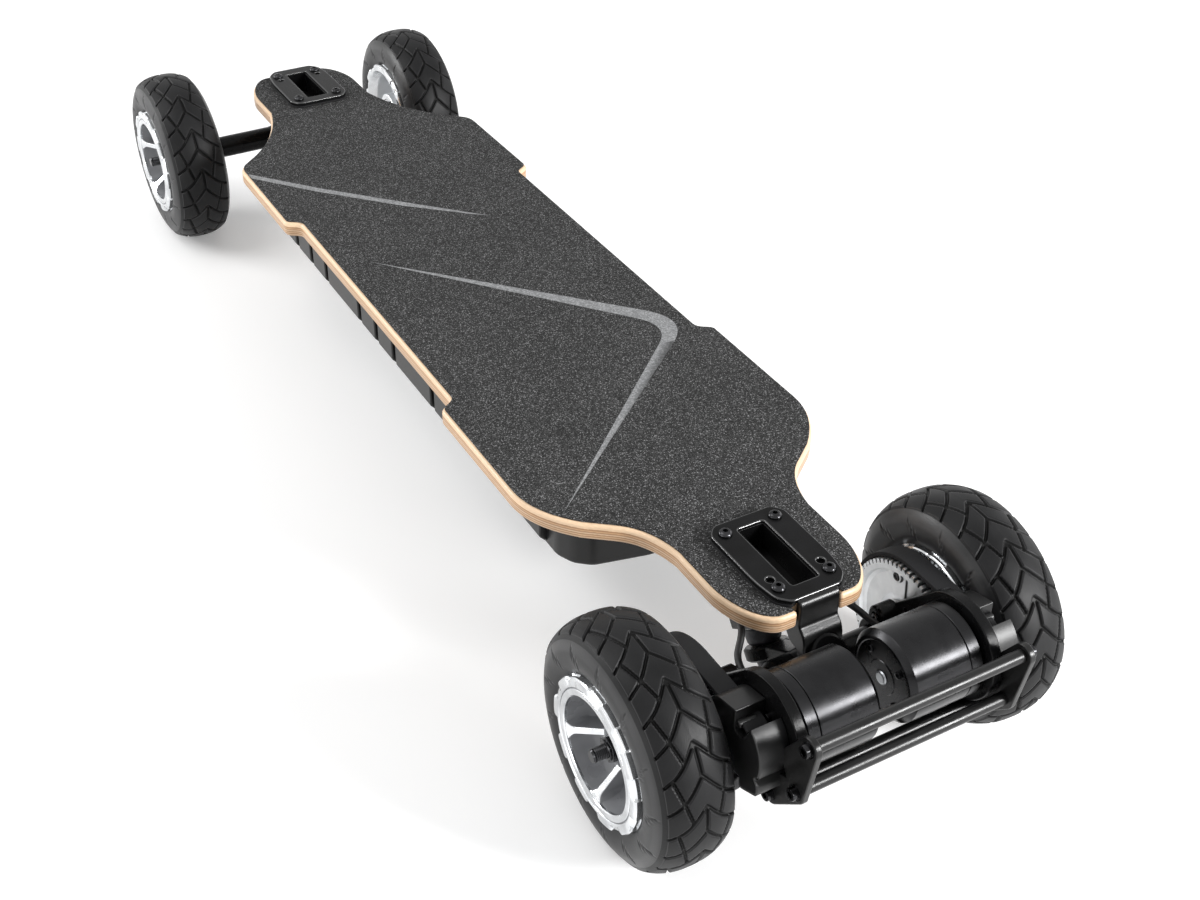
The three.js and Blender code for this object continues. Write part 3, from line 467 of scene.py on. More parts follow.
def step_up(value: np.ndarray, low: float, high: float) -> np.ndarray:
    """A smooth climb from 0 at low to 1 at high: t^2 (3 - 2t)."""
    t = np.clip((value - low) / (high - low), 0, 1)
    return t * t * (3 - 2 * t)


def away_from(x: np.ndarray, y: np.ndarray, path: np.ndarray) -> np.ndarray:
    """The distance of each point from a path: the least over its stretches of the distance to the nearest point on
    each, which lies a clamped share of the way along it.

    Args:
        x: the points' first coordinates.
        y: their second coordinates.
        path: the path's points.

    Returns:
        The distances.
    """
    a, step = path[:-1], np.diff(path, axis=0)
    dx, dy = x[..., None] - a[:, 0], y[..., None] - a[:, 1]
    share = np.clip((dx * step[:, 0] + dy * step[:, 1]) / np.sum(step**2, 1), 0, 1)
    return np.min(np.hypot(dx - share * step[:, 0], dy - share * step[:, 1]), -1)


def stacked(
    loops: Sequence[np.ndarray], rows: Sequence[tuple[float, float]], zones: Sequence[int] | None = None
) -> Skin:
    """A solid whose wall climbs in rows from one flat face to another.

    A row draws every loop in by its first number along the mitres and lies at its second number on the third axis.
    The first and last rows are filled with triangles between the loops.

    Args:
        loops: the outline, then its holes, as [u, v] points.
        rows: how far in and how high each row lies, outside first.
        zones: a finish number for each stretch between rows, or none.

    Returns:
        The closed skin, with the outline in its first two coordinates.
    """
    walls, starts, ends, start = [], [], [], 0
    for number, loop in enumerate(loops):
        loop = np.asarray(loop, float)
        if (area(loop) > 0) != (number == 0):
            loop = loop[::-1]
        layers = [np.column_stack([inset(loop, draw), np.full(len(loop), height)]) for draw, height in rows]
        marks = None if zones is None else np.repeat(np.asarray(zones)[:, None], len(loop), 1)
        wall = grid(np.stack(layers), around=False, along=True, zones=marks)
        wall.faces = [quads[:, ::-1] for quads in wall.faces]
        walls.append(wall)
        starts.append(np.arange(len(loop)) + start)
        ends.append(starts[-1] + (len(rows) - 1) * len(loop))
        start += len(rows) * len(loop)
    skin = joined(walls)
    for ring, upward in ((starts, False), (ends, True)):
        fill = np.array(tessellate_polygon([[Vector((*skin.points[k, :2], 0)) for k in loop] for loop in ring]))
        fill = np.concatenate(ring)[fill]
        a, b, c = (skin.points[fill[:, k], :2] for k in range(3))
        turn = (b[:, 0] - a[:, 0]) * (c[:, 1] - a[:, 1]) - (b[:, 1] - a[:, 1]) * (c[:, 0] - a[:, 0])
        wrong = turn < 0 if upward else turn > 0
        fill[wrong] = fill[wrong][:, ::-1]
        skin.faces.append(fill)
        skin.zones.append(np.zeros(len(fill), int))
    return skin.outward()


def capped(sections: np.ndarray, zones: np.ndarray | None = None) -> Skin:
    """Joins sections, each a closed ring of points, with quads, and closes the first and last with one face each.

    Args:
        sections: sections by points by three.
        zones: a finish number for each quad, or none.

    Returns:
        The closed skin.
    """
    skin = grid(sections, around=False, along=True, zones=zones)
    count, size = sections.shape[:2]
    last = np.arange(size) + (count - 1) * size
    skin.faces += [np.arange(size)[None, :], last[None, ::-1]]
    skin.zones += [np.zeros(1, int)] * 2
    return skin.outward()


def lofted(rings: Sequence[tuple[float, np.ndarray]]) -> Skin:
    """Joins rings of [y, z] points, each at its own x, and closes the first and the last."""
    return capped(np.stack([np.column_stack([np.full(len(ring), x), ring]) for x, ring in rings]))


def placed(points: Sequence[float], turn: float) -> np.ndarray:
    """Turns [y, z] points about the origin by an angle in degrees."""
    a = math.radians(turn)
    return np.asarray(points, float) @ np.array([[math.cos(a), math.sin(a)], [-math.sin(a), math.cos(a)]])


def spun(skin: Skin, turn: float) -> Skin:
    """Turns a skin about the X axis by an angle in degrees."""
    a = math.radians(turn)
    return skin.mapped(np.array([[1, 0, 0], [0, math.cos(a), math.sin(a)], [0, -math.sin(a), math.cos(a)]]))


def hexagon(across: float, turn: float = 0) -> np.ndarray:
    """A hexagon by its size across flats, with corners slightly rounded."""
    return rounded(placed(circle((0, 0), across / math.sqrt(3), 6), turn), 0.4, 2)


# Finishes


def linear(code: str) -> tuple[float, float, float, float]:
    """Turns an sRGB hex colour to linear: v / 12.92 up to 0.04045, and ((v + 0.055) / 1.055) ** 2.4 above."""
    values = [int(code[k : k + 2], 16) / 255 for k in (1, 3, 5)]
    return (*(v / 12.92 if v <= 0.04045 else ((v + 0.055) / 1.055) ** 2.4 for v in values), 1.0)


@dataclass
class Nodes:
    """The shader nodes of a material or of the world.

    Args:
        tree: the tree that they stand in.
    """

    tree: bpy.types.NodeTree

    def feed(self, node: Node, inputs: dict[str | int, Any]) -> None:
        """Feeds a node's inputs, each by its name or number, with a socket or a value.

        Args:
            node: the node.
            inputs: what feeds each input.
        """
        for key, value in inputs.items():
            if isinstance(value, bpy.types.NodeSocket):
                self.tree.links.new(value, node.inputs[key])
            else:
                node.inputs[key].default_value = value

    def add(self, kind: str, inputs: dict[str | int, Any] | None = None, **settings: Any) -> Node:
        """Adds a node.

        Args:
            kind: the node's type.
            inputs: what feeds its inputs.
            settings: its own options.

        Returns:
            The node.
        """
        node = self.tree.nodes.new(kind)
        for key, value in settings.items():
            setattr(node, key, value)
        self.feed(node, inputs or {})
        return node

    def place(self) -> Socket:
        """The place in the object's own metres."""
        return self.add("ShaderNodeTexCoord").outputs["Object"]

    def mark(self) -> Socket:
        """The skin's marks."""
        return self.add("ShaderNodeAttribute", attribute_name="mark").outputs["Fac"]

    def noise(self, size_mm: float, detail: float = 2, rough: float = 0.5, place: Socket | None = None) -> Socket:
        """Random waves of a width, as a value from 0 to 1."""
        inputs = {"Vector": place or self.place(), "Scale": 1 / (size_mm * MM), "Detail": detail, "Roughness": rough}
        return self.add("ShaderNodeTexNoise", inputs).outputs["Fac"]

    def grains(self, size_mm: float) -> tuple[Socket, Socket, Socket]:
        """Splits the surface into grains.

        Args:
            size_mm: how wide a grain is.

        Returns:
            Two random values of each grain, and the distance from its middle.
        """
        cells = self.add("ShaderNodeTexVoronoi", {"Vector": self.place(), "Scale": 1 / (size_mm * MM)})
        shade = self.add("ShaderNodeSeparateColor", {0: cells.outputs["Color"]})
        return shade.outputs[0], shade.outputs[1], cells.outputs["Distance"]

    def ramp(self, value: Socket, *stops: tuple[float, str]) -> Socket:
        """Turns a value to a colour.

        Args:
            value: the value.
            stops: places on the ramp, each with its sRGB colour.

        Returns:
            The colour.
        """
        node = self.add("ShaderNodeValToRGB", {0: value})
        for number, (position, colour) in enumerate(stops):
            elements = node.color_ramp.elements
            stop = elements[number] if number < 2 else elements.new(position)
            stop.position, stop.color = position, linear(colour)
        return node.outputs["Color"]

    def span(self, value: Socket, low: float, high: float, start: float = 0.3, stop: float = 0.7) -> Socket:
        """Runs from low to high as a value runs from start to stop."""
        inputs = {"Value": value, "From Min": start, "From Max": stop, "To Min": low, "To Max": high}
        return self.add("ShaderNodeMapRange", inputs).outputs["Result"]

    def maths(self, kind: str, *values: Socket | float) -> Socket:
        """Works a sum of two or three values out."""
        return self.add("ShaderNodeMath", dict(enumerate(values)), operation=kind).outputs[0]

    def mix(self, share: Socket | float, first: Any, second: Any, kind: str = "MIX") -> Socket:
        """Mixes two colours by a share."""
        inputs = {0: share, 6: first, 7: second}
        return self.add("ShaderNodeMix", inputs, data_type="RGBA", blend_type=kind).outputs[2]

    def relief(self, value: Socket, depth_mm: float) -> Socket:
        """Bends the shading as if a value from 0 to 1 rose by a depth."""
        inputs = {"Height": value, "Distance": depth_mm * MM, "Strength": 1.0}
        return self.add("ShaderNodeBump", inputs).outputs["Normal"]


@dataclass(frozen=True)
class Finish:
    """The finish of a surface.

    Args:
        name: the real finish, in a maker's words.
        colour: its sRGB hex colour.
        rough: its roughness, from 0 to 1.
        shine: how strongly it mirrors face on, 0.5 being what its index of refraction gives.
    """

    name: str
    colour: str
    rough: float
    shine: float = 0.5

    def material(self) -> bpy.types.Material:
        """Makes the material the first time, and finds it afterwards.

        Returns:
            The material.
        """
        found = bpy.data.materials.get(self.name)
        if found:
            return found
        material = bpy.data.materials.new(self.name)
        material.use_nodes = True
        nodes = Nodes(material.node_tree)
        plain = {"Base Color": linear(self.colour), "Roughness": self.rough, "Specular IOR Level": self.shine}
        nodes.feed(nodes.tree.nodes["Principled BSDF"], plain | self.pattern(nodes))
        return material

    def pattern(self, nodes: Nodes) -> dict[str, Any]:
        """Adds the finish's own pattern, and gives what feeds the shader's inputs."""
        raise NotImplementedError

    def shades(self, nodes: Nodes, value: Socket, high: str) -> Socket:
        """Runs the colour from its own to a high one with a value."""
        return nodes.ramp(value, (0.3, self.colour), (0.7, high))

    def gloss(self, nodes: Nodes, value: Socket, spread: float) -> Socket:
        """Spreads the roughness about its own value by as much as a value from 0 to 1 strays from a half."""
        return nodes.span(value, self.rough - spread, self.rough + spread)


@dataclass(frozen=True)
class PowderCoat(Finish):
    """Satin powder coat on metal: an even black skin with a faint orange peel, so highlights are soft and broken.

    Args:
        peel_mm: the width of the orange peel's waves.
        high: the colour where the coat is thin or dusty.
        lacquer: how much clear lacquer lies over it.
    """

    peel_mm: float = 1.1
    high: str = "#161718"
    lacquer: float = 0.0

    def pattern(self, nodes: Nodes) -> dict[str, Any]:
        """Adds the peel and a slow change of shade and gloss.

        Args:
            nodes: the material's nodes.

        Returns:
            What feeds the shader's inputs.
        """
        slow = nodes.noise(22, 4)
        return {
            "Base Color": self.shades(nodes, slow, self.high), "Roughness": self.gloss(nodes, slow, 0.06),
            "Normal": nodes.relief(nodes.noise(self.peel_mm), 0.05),
            "Coat Weight": self.lacquer, "Coat Roughness": 0.12,
        }


@dataclass(frozen=True)
class MouldedPlastic(Finish):
    """Injection-moulded ABS with an eroded mould's grain, which spreads highlights into a soft sheen.

    Args:
        grain_mm: the width of the grain.
        high: the colour of its lighter patches.
    """

    grain_mm: float = 0.7
    high: str = "#1c1c1e"

    def pattern(self, nodes: Nodes) -> dict[str, Any]:
        """Adds the grain and faint flow marks.

        Args:
            nodes: the material's nodes.

        Returns:
            What feeds the shader's inputs.
        """
        grain = nodes.noise(self.grain_mm, 3)
        return {
            "Base Color": self.shades(nodes, nodes.noise(35), self.high),
            "Roughness": self.gloss(nodes, grain, 0.03), "Normal": nodes.relief(grain, 0.008),
        }


@dataclass(frozen=True)
class CastUrethane(Finish):
    """Cast polyurethane: a waxy, slightly see-through black, so its edges glow a little and highlights stay soft.

    Args:
        high: the colour of the bloom where it is palest.
    """

    high: str = "#303034"

    def pattern(self, nodes: Nodes) -> dict[str, Any]:
        """Adds faint bubbles and bloom.

        Args:
            nodes: the material's nodes.

        Returns:
            What feeds the shader's inputs.
        """
        bloom = nodes.noise(4, 4)
        return {
            "Base Color": self.shades(nodes, bloom, self.high), "Roughness": self.gloss(nodes, bloom, 0.06),
            "Normal": nodes.relief(bloom, 0.05),
            "Subsurface Weight": 0.08, "Subsurface Radius": (0.002, 0.002, 0.002),
        }


@dataclass(frozen=True)
class TyreRubber(Finish):
    """Vulcanised rubber: near black with a soft sheen, scuffed groove rims with a painted highlight, painted shade in
    the grooves.

    Args:
        dust: the colour where dust lies on it.
        scuff_and_edge_highlight: the colour of the grooves' rims, scuffed and with a painted highlight.
        deep: the painted shade down in the grooves and slits.
    """

    dust: str = "#202021"
    scuff_and_edge_highlight: str = "#3c3c3d"
    deep: str = "#020202"

    def pattern(self, nodes: Nodes) -> dict[str, Any]:
        """Mixes scuffed rims with a painted highlight and painted groove shade in by the marks, the depth below the
        tread.

        Args:
            nodes: the material's nodes.

        Returns:
            What feeds the shader's inputs.
        """
        mark, dust = nodes.mark(), nodes.noise(24, 6)
        shade = nodes.ramp(dust, (0.35, self.colour), (0.7, self.dust))
        black, white = "#000000", "#ffffff"
        # The grooves' rims take the scuff colour: scuffs with a painted highlight
        edge = nodes.ramp(mark, (0.0, black), (0.04, black), (0.12, white), (0.24, white), (0.34, black))
        worn = nodes.mix(nodes.maths("MULTIPLY", edge, dust), shade, linear(self.scuff_and_edge_highlight))
        # Down in the grooves and slits the colour runs to deep, a painted shade
        return {
            "Base Color": nodes.mix(nodes.span(mark, 0, 1, 0.3, 0.55), worn, linear(self.deep)),
            "Roughness": self.gloss(nodes, dust, 0.07), "Normal": nodes.relief(nodes.noise(0.9, 3), 0.06),
        }


@dataclass(frozen=True)
class MachinedMetal(Finish):
    """Bare turned, brushed or polished metal: bright, with fine tool lines that draw highlights out.

    Args:
        high: the colour of its brighter streaks.
        line_mm: the spacing of the tool lines.
        depth_mm: their depth.
        by_mark: whether the lines follow the marks, a radius of 100 mm being 1, or wander freely.
    """

    high: str = "#e4e6e8"
    line_mm: float = 0.8
    depth_mm: float = 0.01
    by_mark: bool = False

    def pattern(self, nodes: Nodes) -> dict[str, Any]:
        """Adds the tool lines, faint clouding and a little uneven gloss.

        Args:
            nodes: the material's nodes.

        Returns:
            What feeds the shader's inputs.
        """
        cloud = nodes.noise(14, 4)
        if self.by_mark:
            inputs = {"W": nodes.mark(), "Scale": 100 / self.line_mm}
            lines = nodes.add("ShaderNodeTexNoise", inputs, noise_dimensions="1D").outputs["Fac"]
        else:
            lines = nodes.noise(self.line_mm)
        return {
            "Base Color": self.shades(nodes, cloud, self.high), "Roughness": self.gloss(nodes, cloud, 0.05),
            "Normal": nodes.relief(lines, self.depth_mm), "Metallic": 1.0,
        }


@dataclass(frozen=True)
class GritSheet(Finish):
    """Silicon carbide grit glued to a sheet: a dark grey, rough field of grains, the brightest few painted as glints.

    Args:
        painted_glint: the painted highlight colour of the brightest grains.
        grain_mm: the spacing of the grains, drawn at about twice their real size so that they show.
    """

    painted_glint: str = "#8c8c8d"
    grain_mm: float = 0.65

    def pattern(self, nodes: Nodes) -> dict[str, Any]:
        """Gives each grain its own shade and height, the brightest a painted glint, and wears the sheet in broad
        patches.

        Args:
            nodes: the material's nodes.

        Returns:
            What feeds the shader's inputs.
        """
        shade, other, away = nodes.grains(self.grain_mm)
        # The top stop of the tones is a painted glint
        tones = ((0.0, "#1c1c1c"), (0.3, "#2d2d2d"), (0.62, self.colour), (0.9, "#525252"), (0.975, self.painted_glint))
        worn = nodes.span(nodes.noise(60, 6, 0.7), 0.88, 1.12)
        return {
            "Base Color": nodes.mix(1.0, nodes.ramp(shade, *tones), worn, "MULTIPLY"),
            "Roughness": self.gloss(nodes, other, 0.1), "Normal": nodes.relief(away, 0.3),
        }


@dataclass(frozen=True)
class PrintedInk(Finish):
    """Grey ink screened on the grit: it covers the grains' tops and misses the pits between them.

    Args:
        grain_mm: the spacing of the grains under it, drawn coarser than on the sheet so that the breaks show.
    """

    grain_mm: float = 1.1

    def pattern(self, nodes: Nodes) -> dict[str, Any]:
        """Breaks the ink up by the grains.

        Args:
            nodes: the material's nodes.

        Returns:
            What feeds the shader's inputs.
        """
        shade, other, away = nodes.grains(self.grain_mm)
        return {
            "Base Color": nodes.ramp(shade, (0.0, "#77787a"), (0.3, self.colour), (0.95, "#9a9b9c")),
            "Roughness": self.gloss(nodes, other, 0.08), "Normal": nodes.relief(away, 0.08),
        }


@dataclass(frozen=True)
class MaplePlies(Finish):
    """Pressed maple veneer under clear lacquer: long grain, and at the edge alternating plies with dark glue lines.

    Args:
        top_mm: the height of the deck's top above the ground.
        thick_mm: the thickness of the deck.
        glue: the colour of the glue lines.
        plies: where each ply starts, as a share of the thickness, and its colour.
    """

    top_mm: float = 151.6
    thick_mm: float = 14.0
    glue: str = "#9a7048"
    plies: tuple[tuple[float, str], ...] = (
        (0.0, "#d0af8e"), (0.14, "#dabea0"), (0.29, "#d3b495"), (0.43, "#dcc2a5"), (0.57, "#d0ab88"), (0.72, "#e4c5a3"),
    )

    def pattern(self, nodes: Nodes) -> dict[str, Any]:
        """Finds the ply by height, and streaks each along the board.

        Args:
            nodes: the material's nodes.

        Returns:
            What feeds the shader's inputs.
        """
        stretch = nodes.add("ShaderNodeMapping", {"Vector": nodes.place(), "Scale": (1.0, 0.035, 2.5)})
        grain = nodes.noise(2.2, 6, 0.6, stretch.outputs[0])
        height = nodes.add("ShaderNodeSeparateXYZ", {0: nodes.place()}).outputs["Z"]
        share = nodes.span(height, 0, 1, (self.top_mm - self.thick_mm) * MM, self.top_mm * MM)
        stops = [stop for edge, tone in self.plies for stop in ((edge, self.glue), (edge + 0.035, tone))]
        plies = nodes.ramp(nodes.maths("MULTIPLY_ADD", grain, 0.06, share), *stops)
        return {
            "Base Color": nodes.mix(1.0, plies, nodes.span(grain, 0.86, 1.06), "MULTIPLY"),
            "Roughness": self.gloss(nodes, grain, 0.08), "Normal": nodes.relief(grain, 0.05),
            "Coat Weight": 0.1, "Coat Roughness": 0.3,
        }


# Metals: the lips and spokes flash, castings and turnings stay soft, black metals keep a dark, drawn-out highlight
POLISHED = MachinedMetal("polished_cast_aluminium", "#c6c8ca", 0.2, 0.5, "#e6e8ea", 0.7, 0.006, True)
CAST = MachinedMetal("bare_cast_aluminium", "#dddfe1", 0.5, 0.5, "#e9ebed", 1.1, 0.01)
TURNED = MachinedMetal("turned_aluminium", "#d6d8da", 0.34, 0.5, "#eceeef", 0.6, 0.006, True)
ZINC = MachinedMetal("zinc_plated_steel", "#8d9094", 0.34, 0.5, "#b9bcbf", 0.5, 0.01)
RACE = MachinedMetal("ground_bearing_steel", "#b8babd", 0.18, 0.5, "#d9dbdd", 0.4, 0.004)
BLACK_OXIDE = MachinedMetal("black_oxide_steel", "#2c2c2d", 0.22, 0.5, "#3e3e40", 0.4, 0.003)
GUNMETAL = MachinedMetal("black_anodised_aluminium", "#2b2b2c", 0.28, 0.5, "#303031", 0.5, 0.0004)
# A darker copy of the can's anodise for the groove's floor and the sunk collar: painted shade
ANODISE_PAINTED_GROOVE_SHADE = MachinedMetal("anodised_motor_cap", "#1a1a1b", 0.36, 0.5, "#202021", 0.5, 0.0004)
# Paints: the dish is a grey bowl whose grey is a painted reflection on polished aluminium, coated parts are black with
# a soft sheen, worn edges draw thin bright lines
GREY_PAINTED_REFLECTION = PowderCoat("gloss_charcoal_enamel", "#7a7b7e", 0.3, high="#86878a", lacquer=0.5)
COAT = PowderCoat("satin_black_powder_coat", "#080808", 0.27, 0.11, high="#111112")
GUARD = PowderCoat("fine_black_guard_coat", "#070707", 0.3, 0.34, 0.8, "#0e0e0e")
EDGE = PowderCoat("burnished_coat_edge", "#121213", 0.16, 0.8, 4.0, "#1a1a1b")
# Plastics and rubbers: broad, weak highlights, so the shapes read by their shading
PLASTIC = MouldedPlastic("moulded_black_abs", "#080808", 0.38, 0.42, high="#0e0e0f")
SEAL = MouldedPlastic("black_silicone_seal", "#101011", 0.7, 0.3, 0.5)
JACKET = MouldedPlastic("black_lead_jacket", "#101011", 0.5, 0.35, 0.5)
# The belt's rubber also lies in the gear's tooth gaps as painted shade
BELT_RUBBER_AND_GAP_SHADE = MouldedPlastic("woven_belt_rubber", "#151516", 0.72, 0.25, 0.6)
SHRINK = MouldedPlastic("blue_shrink_wrap", "#2a4f8a", 0.45, high="#315a9b")
URETHANE = CastUrethane("cast_black_urethane", "#151517", 0.45, 0.35)
# One tyre rubber in two copies: the tread's is painted darker as painted shade, the side wall's lighter as painted
# light
SHADED_TREAD_RUBBER = TyreRubber("vulcanised_tread_rubber", "#0c0c0d", 0.48, 0.2, "#161617")
LIT_SIDE_WALL_RUBBER = TyreRubber("smooth_side_wall_rubber", "#171718", 0.42, 0.36, "#232324")
# The deck: dark grit with painted glints and flat grey ink, over pale plies
GRIT_AND_PAINTED_GLINTS = GritSheet("silicon_carbide_grit_sheet", "#373737", 0.86, 0.1)
INK = PrintedInk("screened_grey_ink", "#727374", 0.7, 0.15)
MAPLE = MaplePlies("pressed_maple_plies", "#e0c3a2", 0.42, 0.4)


def show(
    name: str,
    skin: Skin,
    finishes: Sequence[Finish],
    body: str | None,
    replaces: Sequence[str] = (),
    sharp: float = 32,
) -> bpy.types.Object:
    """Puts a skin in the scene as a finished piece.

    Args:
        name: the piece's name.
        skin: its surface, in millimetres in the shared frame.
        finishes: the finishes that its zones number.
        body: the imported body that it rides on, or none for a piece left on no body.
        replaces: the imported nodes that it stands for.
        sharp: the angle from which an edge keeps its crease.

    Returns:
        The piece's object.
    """
    mesh = bpy.data.meshes.new(name)
    mesh.vertices.add(len(skin.points))
    mesh.vertices.foreach_set("co", (skin.points * MM).astype(np.float32).ravel())
    sizes = np.concatenate([np.full(len(rows), rows.shape[1]) for rows in skin.faces])
    corners = np.concatenate([rows.ravel() for rows in skin.faces])
    mesh.loops.add(len(corners))
    mesh.loops.foreach_set("vertex_index", corners.astype(np.int32))
    mesh.polygons.add(len(sizes))
    mesh.polygons.foreach_set("loop_start", np.concatenate([[0], np.cumsum(sizes)[:-1]]).astype(np.int32))
    mesh.polygons.foreach_set("material_index", np.concatenate(skin.zones).astype(np.int32))
    mesh.update(calc_edges=True)
    mesh.validate()
    mark = mesh.attributes.new("mark", "FLOAT", "POINT")
    mark.data.foreach_set("value", skin.marks.astype(np.float32))
    for finish in finishes:
        mesh.materials.append(finish.material())
    mesh.polygons.foreach_set("use_smooth", np.ones(len(sizes), bool))
    mesh.set_sharp_from_angle(angle=math.radians(sharp))
    piece = bpy.data.objects.new(name, mesh)
    bpy.context.scene.collection.objects.link(piece)
    weighted = piece.modifiers.new("even_shading", "WEIGHTED_NORMAL")
    weighted.keep_sharp = True
    if body:
        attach(piece, body)
    if replaces:
        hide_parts(*replaces)
    log.info("%s: %d faces on %s", name, len(sizes), body or "two bodies")
    return piece


@dataclass(frozen=True)
class Layout:
    """The board's main places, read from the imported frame, in millimetres.

    Args:
        rise: the height of the axles.
        along: the place of each axle along the board.
        half_track: from the middle to a wheel's middle plane.
    """

    rise: float
    along: dict[End, float]
    half_track: float

    @classmethod
    def read(cls) -> "Layout":
        """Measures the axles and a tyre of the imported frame.

        Returns:
            The layout.
        """
        along, rise = {}, 0.0
        for end in End:
            low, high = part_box(f"axle_{end.name.lower()}")
            along[end] = (low.y + high.y) / 2 / MM
            rise = (low.z + high.z) / 2 / MM
        low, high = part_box("tyre_front_right")
        return cls(rise, along, (low.x + high.x) / 2 / MM)

    def truck(self, skin: Skin, end: End) -> Skin:
        """Places a skin made with Y outboard and its origin in the middle of the axle."""
        return skin.mapped(np.diag([1, end.value, 1]), (0, self.along[end], self.rise))

    def drive(self, skin: Skin, side: Side) -> Skin:
        """Places a skin of the belt drive, made for the right side with Y outboard from the tail's axle."""
        return skin.mapped(np.diag([side.value, -1, 1]), (0, self.along[End.REAR], self.rise))

    def wheel(self, skin: Skin, end: End, side: Side) -> Skin:
        """Places a skin made with X outboard from a wheel's middle plane and Y towards the nose."""
        return skin.mapped(np.diag([side.value, 1, 1]), (side.value * self.half_track, self.along[end], self.rise))

    def deck(self, skin: Skin) -> Skin:
        """Places a skin of the deck, made from the board's middle and the height of the axles."""
        return skin.at(0, sum(self.along.values()) / 2, self.rise)


# Wheels


@dataclass
class Tyre:
    """An air tyre with arrow-shaped grooves, its profile given as [x, radius] from the crown to the bead.

    Args:
        half: the right half of the outer profile.
        half_tread: how far from the middle plane the tread ends.
        repeats: how many times the tread's pattern goes round.
        columns: grid columns in one repeat.
        groove: width and depth of a groove.
        slit: width and depth of a slit in the side wall.
        step: how far the side wall sinks beside the tread.
    """

    half: Sequence[Sequence[float]] = (
        (0, 87.2), (7, 86.9), (13, 85.9), (18.5, 84.0), (22.5, 81.9), (25.2, 79.9), (27.6, 76.2), (29.2, 71.4),
        (29.9, 66), (29.6, 61.5), (28.5, 57.6), (27, 55.3), (25.7, 54.2), (25.65, 50.5), (25.65, 46.4),
    )
    half_tread: float = 25.3
    repeats: int = 13
    columns: int = 70
    groove: tuple[float, float] = (2.3, 2.1)
    slit: tuple[float, float] = (1.4, 0.9)
    step: float = 0.7

    def __post_init__(self) -> None:
        """Samples the half profile, closely on the tread and more widely on the side wall."""
        fine = evenly(curve_through(np.asarray(self.half, float), 24), 0.1)
        along = np.concatenate([[0], np.cumsum(np.linalg.norm(np.diff(fine, axis=0), axis=1))])
        rising = int(len(fine) * 0.4)  # the points up to here all lie further out than the last
        self.tread = fine[:rising, 0], along[:rising]
        self.ridge = float(self.reach(self.half_tread))
        gaps = [np.arange(0, self.ridge - 0.6, 0.8), self.ridge + np.arange(-0.6, 1.3, 0.45)]
        gaps.append(np.linspace(self.ridge + 1.9, along[-1], 13))
        self.at = np.concatenate(gaps)
        self.line = np.stack([np.interp(self.at, along, fine[:, k]) for k in (0, 1)], -1)

    def reach(self, across: np.ndarray | float) -> np.ndarray:
        """How far from the crown the surface is, measured on it, at a distance from the middle plane."""
        return np.interp(across, *self.tread)

    def depth(self) -> np.ndarray:
        """The depth of the pattern below the surface, for one repeat: rows along the profile, columns round.

        Each groove is the band within half its width of a path. Two legs trail from every tip: at a share u of the
        leg the turn is 15 u degrees and the place across 25 (0.75 u + 0.25 u^5). A line on the crown joins every
        other pair of tips, a slanted line lies beside each leg, and a short slit curves down the side wall.

        Returns:
            The depths.
        """
        period = 360 / self.repeats
        turn = np.arange(self.columns) * period / self.columns
        u = np.linspace(0, 1, 14)
        leg = np.stack([15 * u, self.reach(25 * (0.75 * u + 0.25 * u**5))], -1)
        slant = np.array([[13.5, self.reach(18.5)], [24.2, self.reach(14.0)], [34.4, self.reach(9.5)]])
        crown = np.array([[0, 0], [period / 2, 0]])
        wall = np.interp([73, 69.5, 66, 63], self.line[::-1, 1], self.at[::-1])
        slit = np.stack([np.array([0, 1.2, 3.6, 7.2]) + 5, wall], -1)
        depth = np.zeros((len(self.at), self.columns))
        kinds = [(leg, self.groove, 85), (leg + [period / 2, 0], self.groove, 85), (slant, self.groove, 85)]
        kinds += [(crown, self.groove, 87), (slit, self.slit, 68)]
        for path, (width, deep), radius in kinds:
            for lap in (-2, -1, 0, 1):  # a path trails into the repeats beside its own
                line = (path + [lap * period, 0]) * [math.radians(radius), 1]
                away = away_from(np.radians(turn)[None, :] * radius, self.at[:, None], line)
                depth = np.maximum(depth, deep * (1 - step_up(away, width / 2 - 0.45, width / 2 + 0.35)))
        fall = step_up(self.at, self.ridge, self.ridge + 0.9) * (1 - step_up(self.at, self.ridge + 4, self.ridge + 16))
        return depth + self.step * fall[:, None]

    def skin(self) -> Skin:
        """Turns both halves about the axle, drawn in along the profile's normal by the pattern's depth.

        Returns:
            The closed skin.
        """
        along = unit(np.gradient(self.line, axis=0))
        inward = np.stack([along[:, 1], -along[:, 0]], -1)
        depth = np.tile(self.depth(), (1, self.repeats))
        half = self.line[:, None] + depth[..., None] * inward[:, None]
        inner = np.array([[21.5, 46.4], [21.5, 62], [14, 74], [-14, 74], [-21.5, 62], [-21.5, 46.4]])
        hidden = np.repeat(inner[:, None], half.shape[1], 1)
        other = half[:0:-1] * [-1, 1]
        loop = np.concatenate([other, half, hidden])
        marks = np.concatenate([depth[:0:-1], depth, np.zeros(hidden.shape[:2])])
        angle = whole_turn(half.shape[1])
        points = np.stack([loop[..., 0], loop[..., 1] * np.cos(angle), loop[..., 1] * np.sin(angle)], -1)
        # Zone 1, the side wall, takes the rubber painted lighter; zone 0, the tread, takes the copy painted darker
        smooth = (np.abs(loop[:, 0, 0]) > self.half_tread - 0.1).astype(int)
        skin = grid(points, zones=np.repeat(smooth[:, None], half.shape[1], 1))
        skin.marks = np.clip(marks.ravel() / self.groove[1], 0, 1)
        return skin.outward()


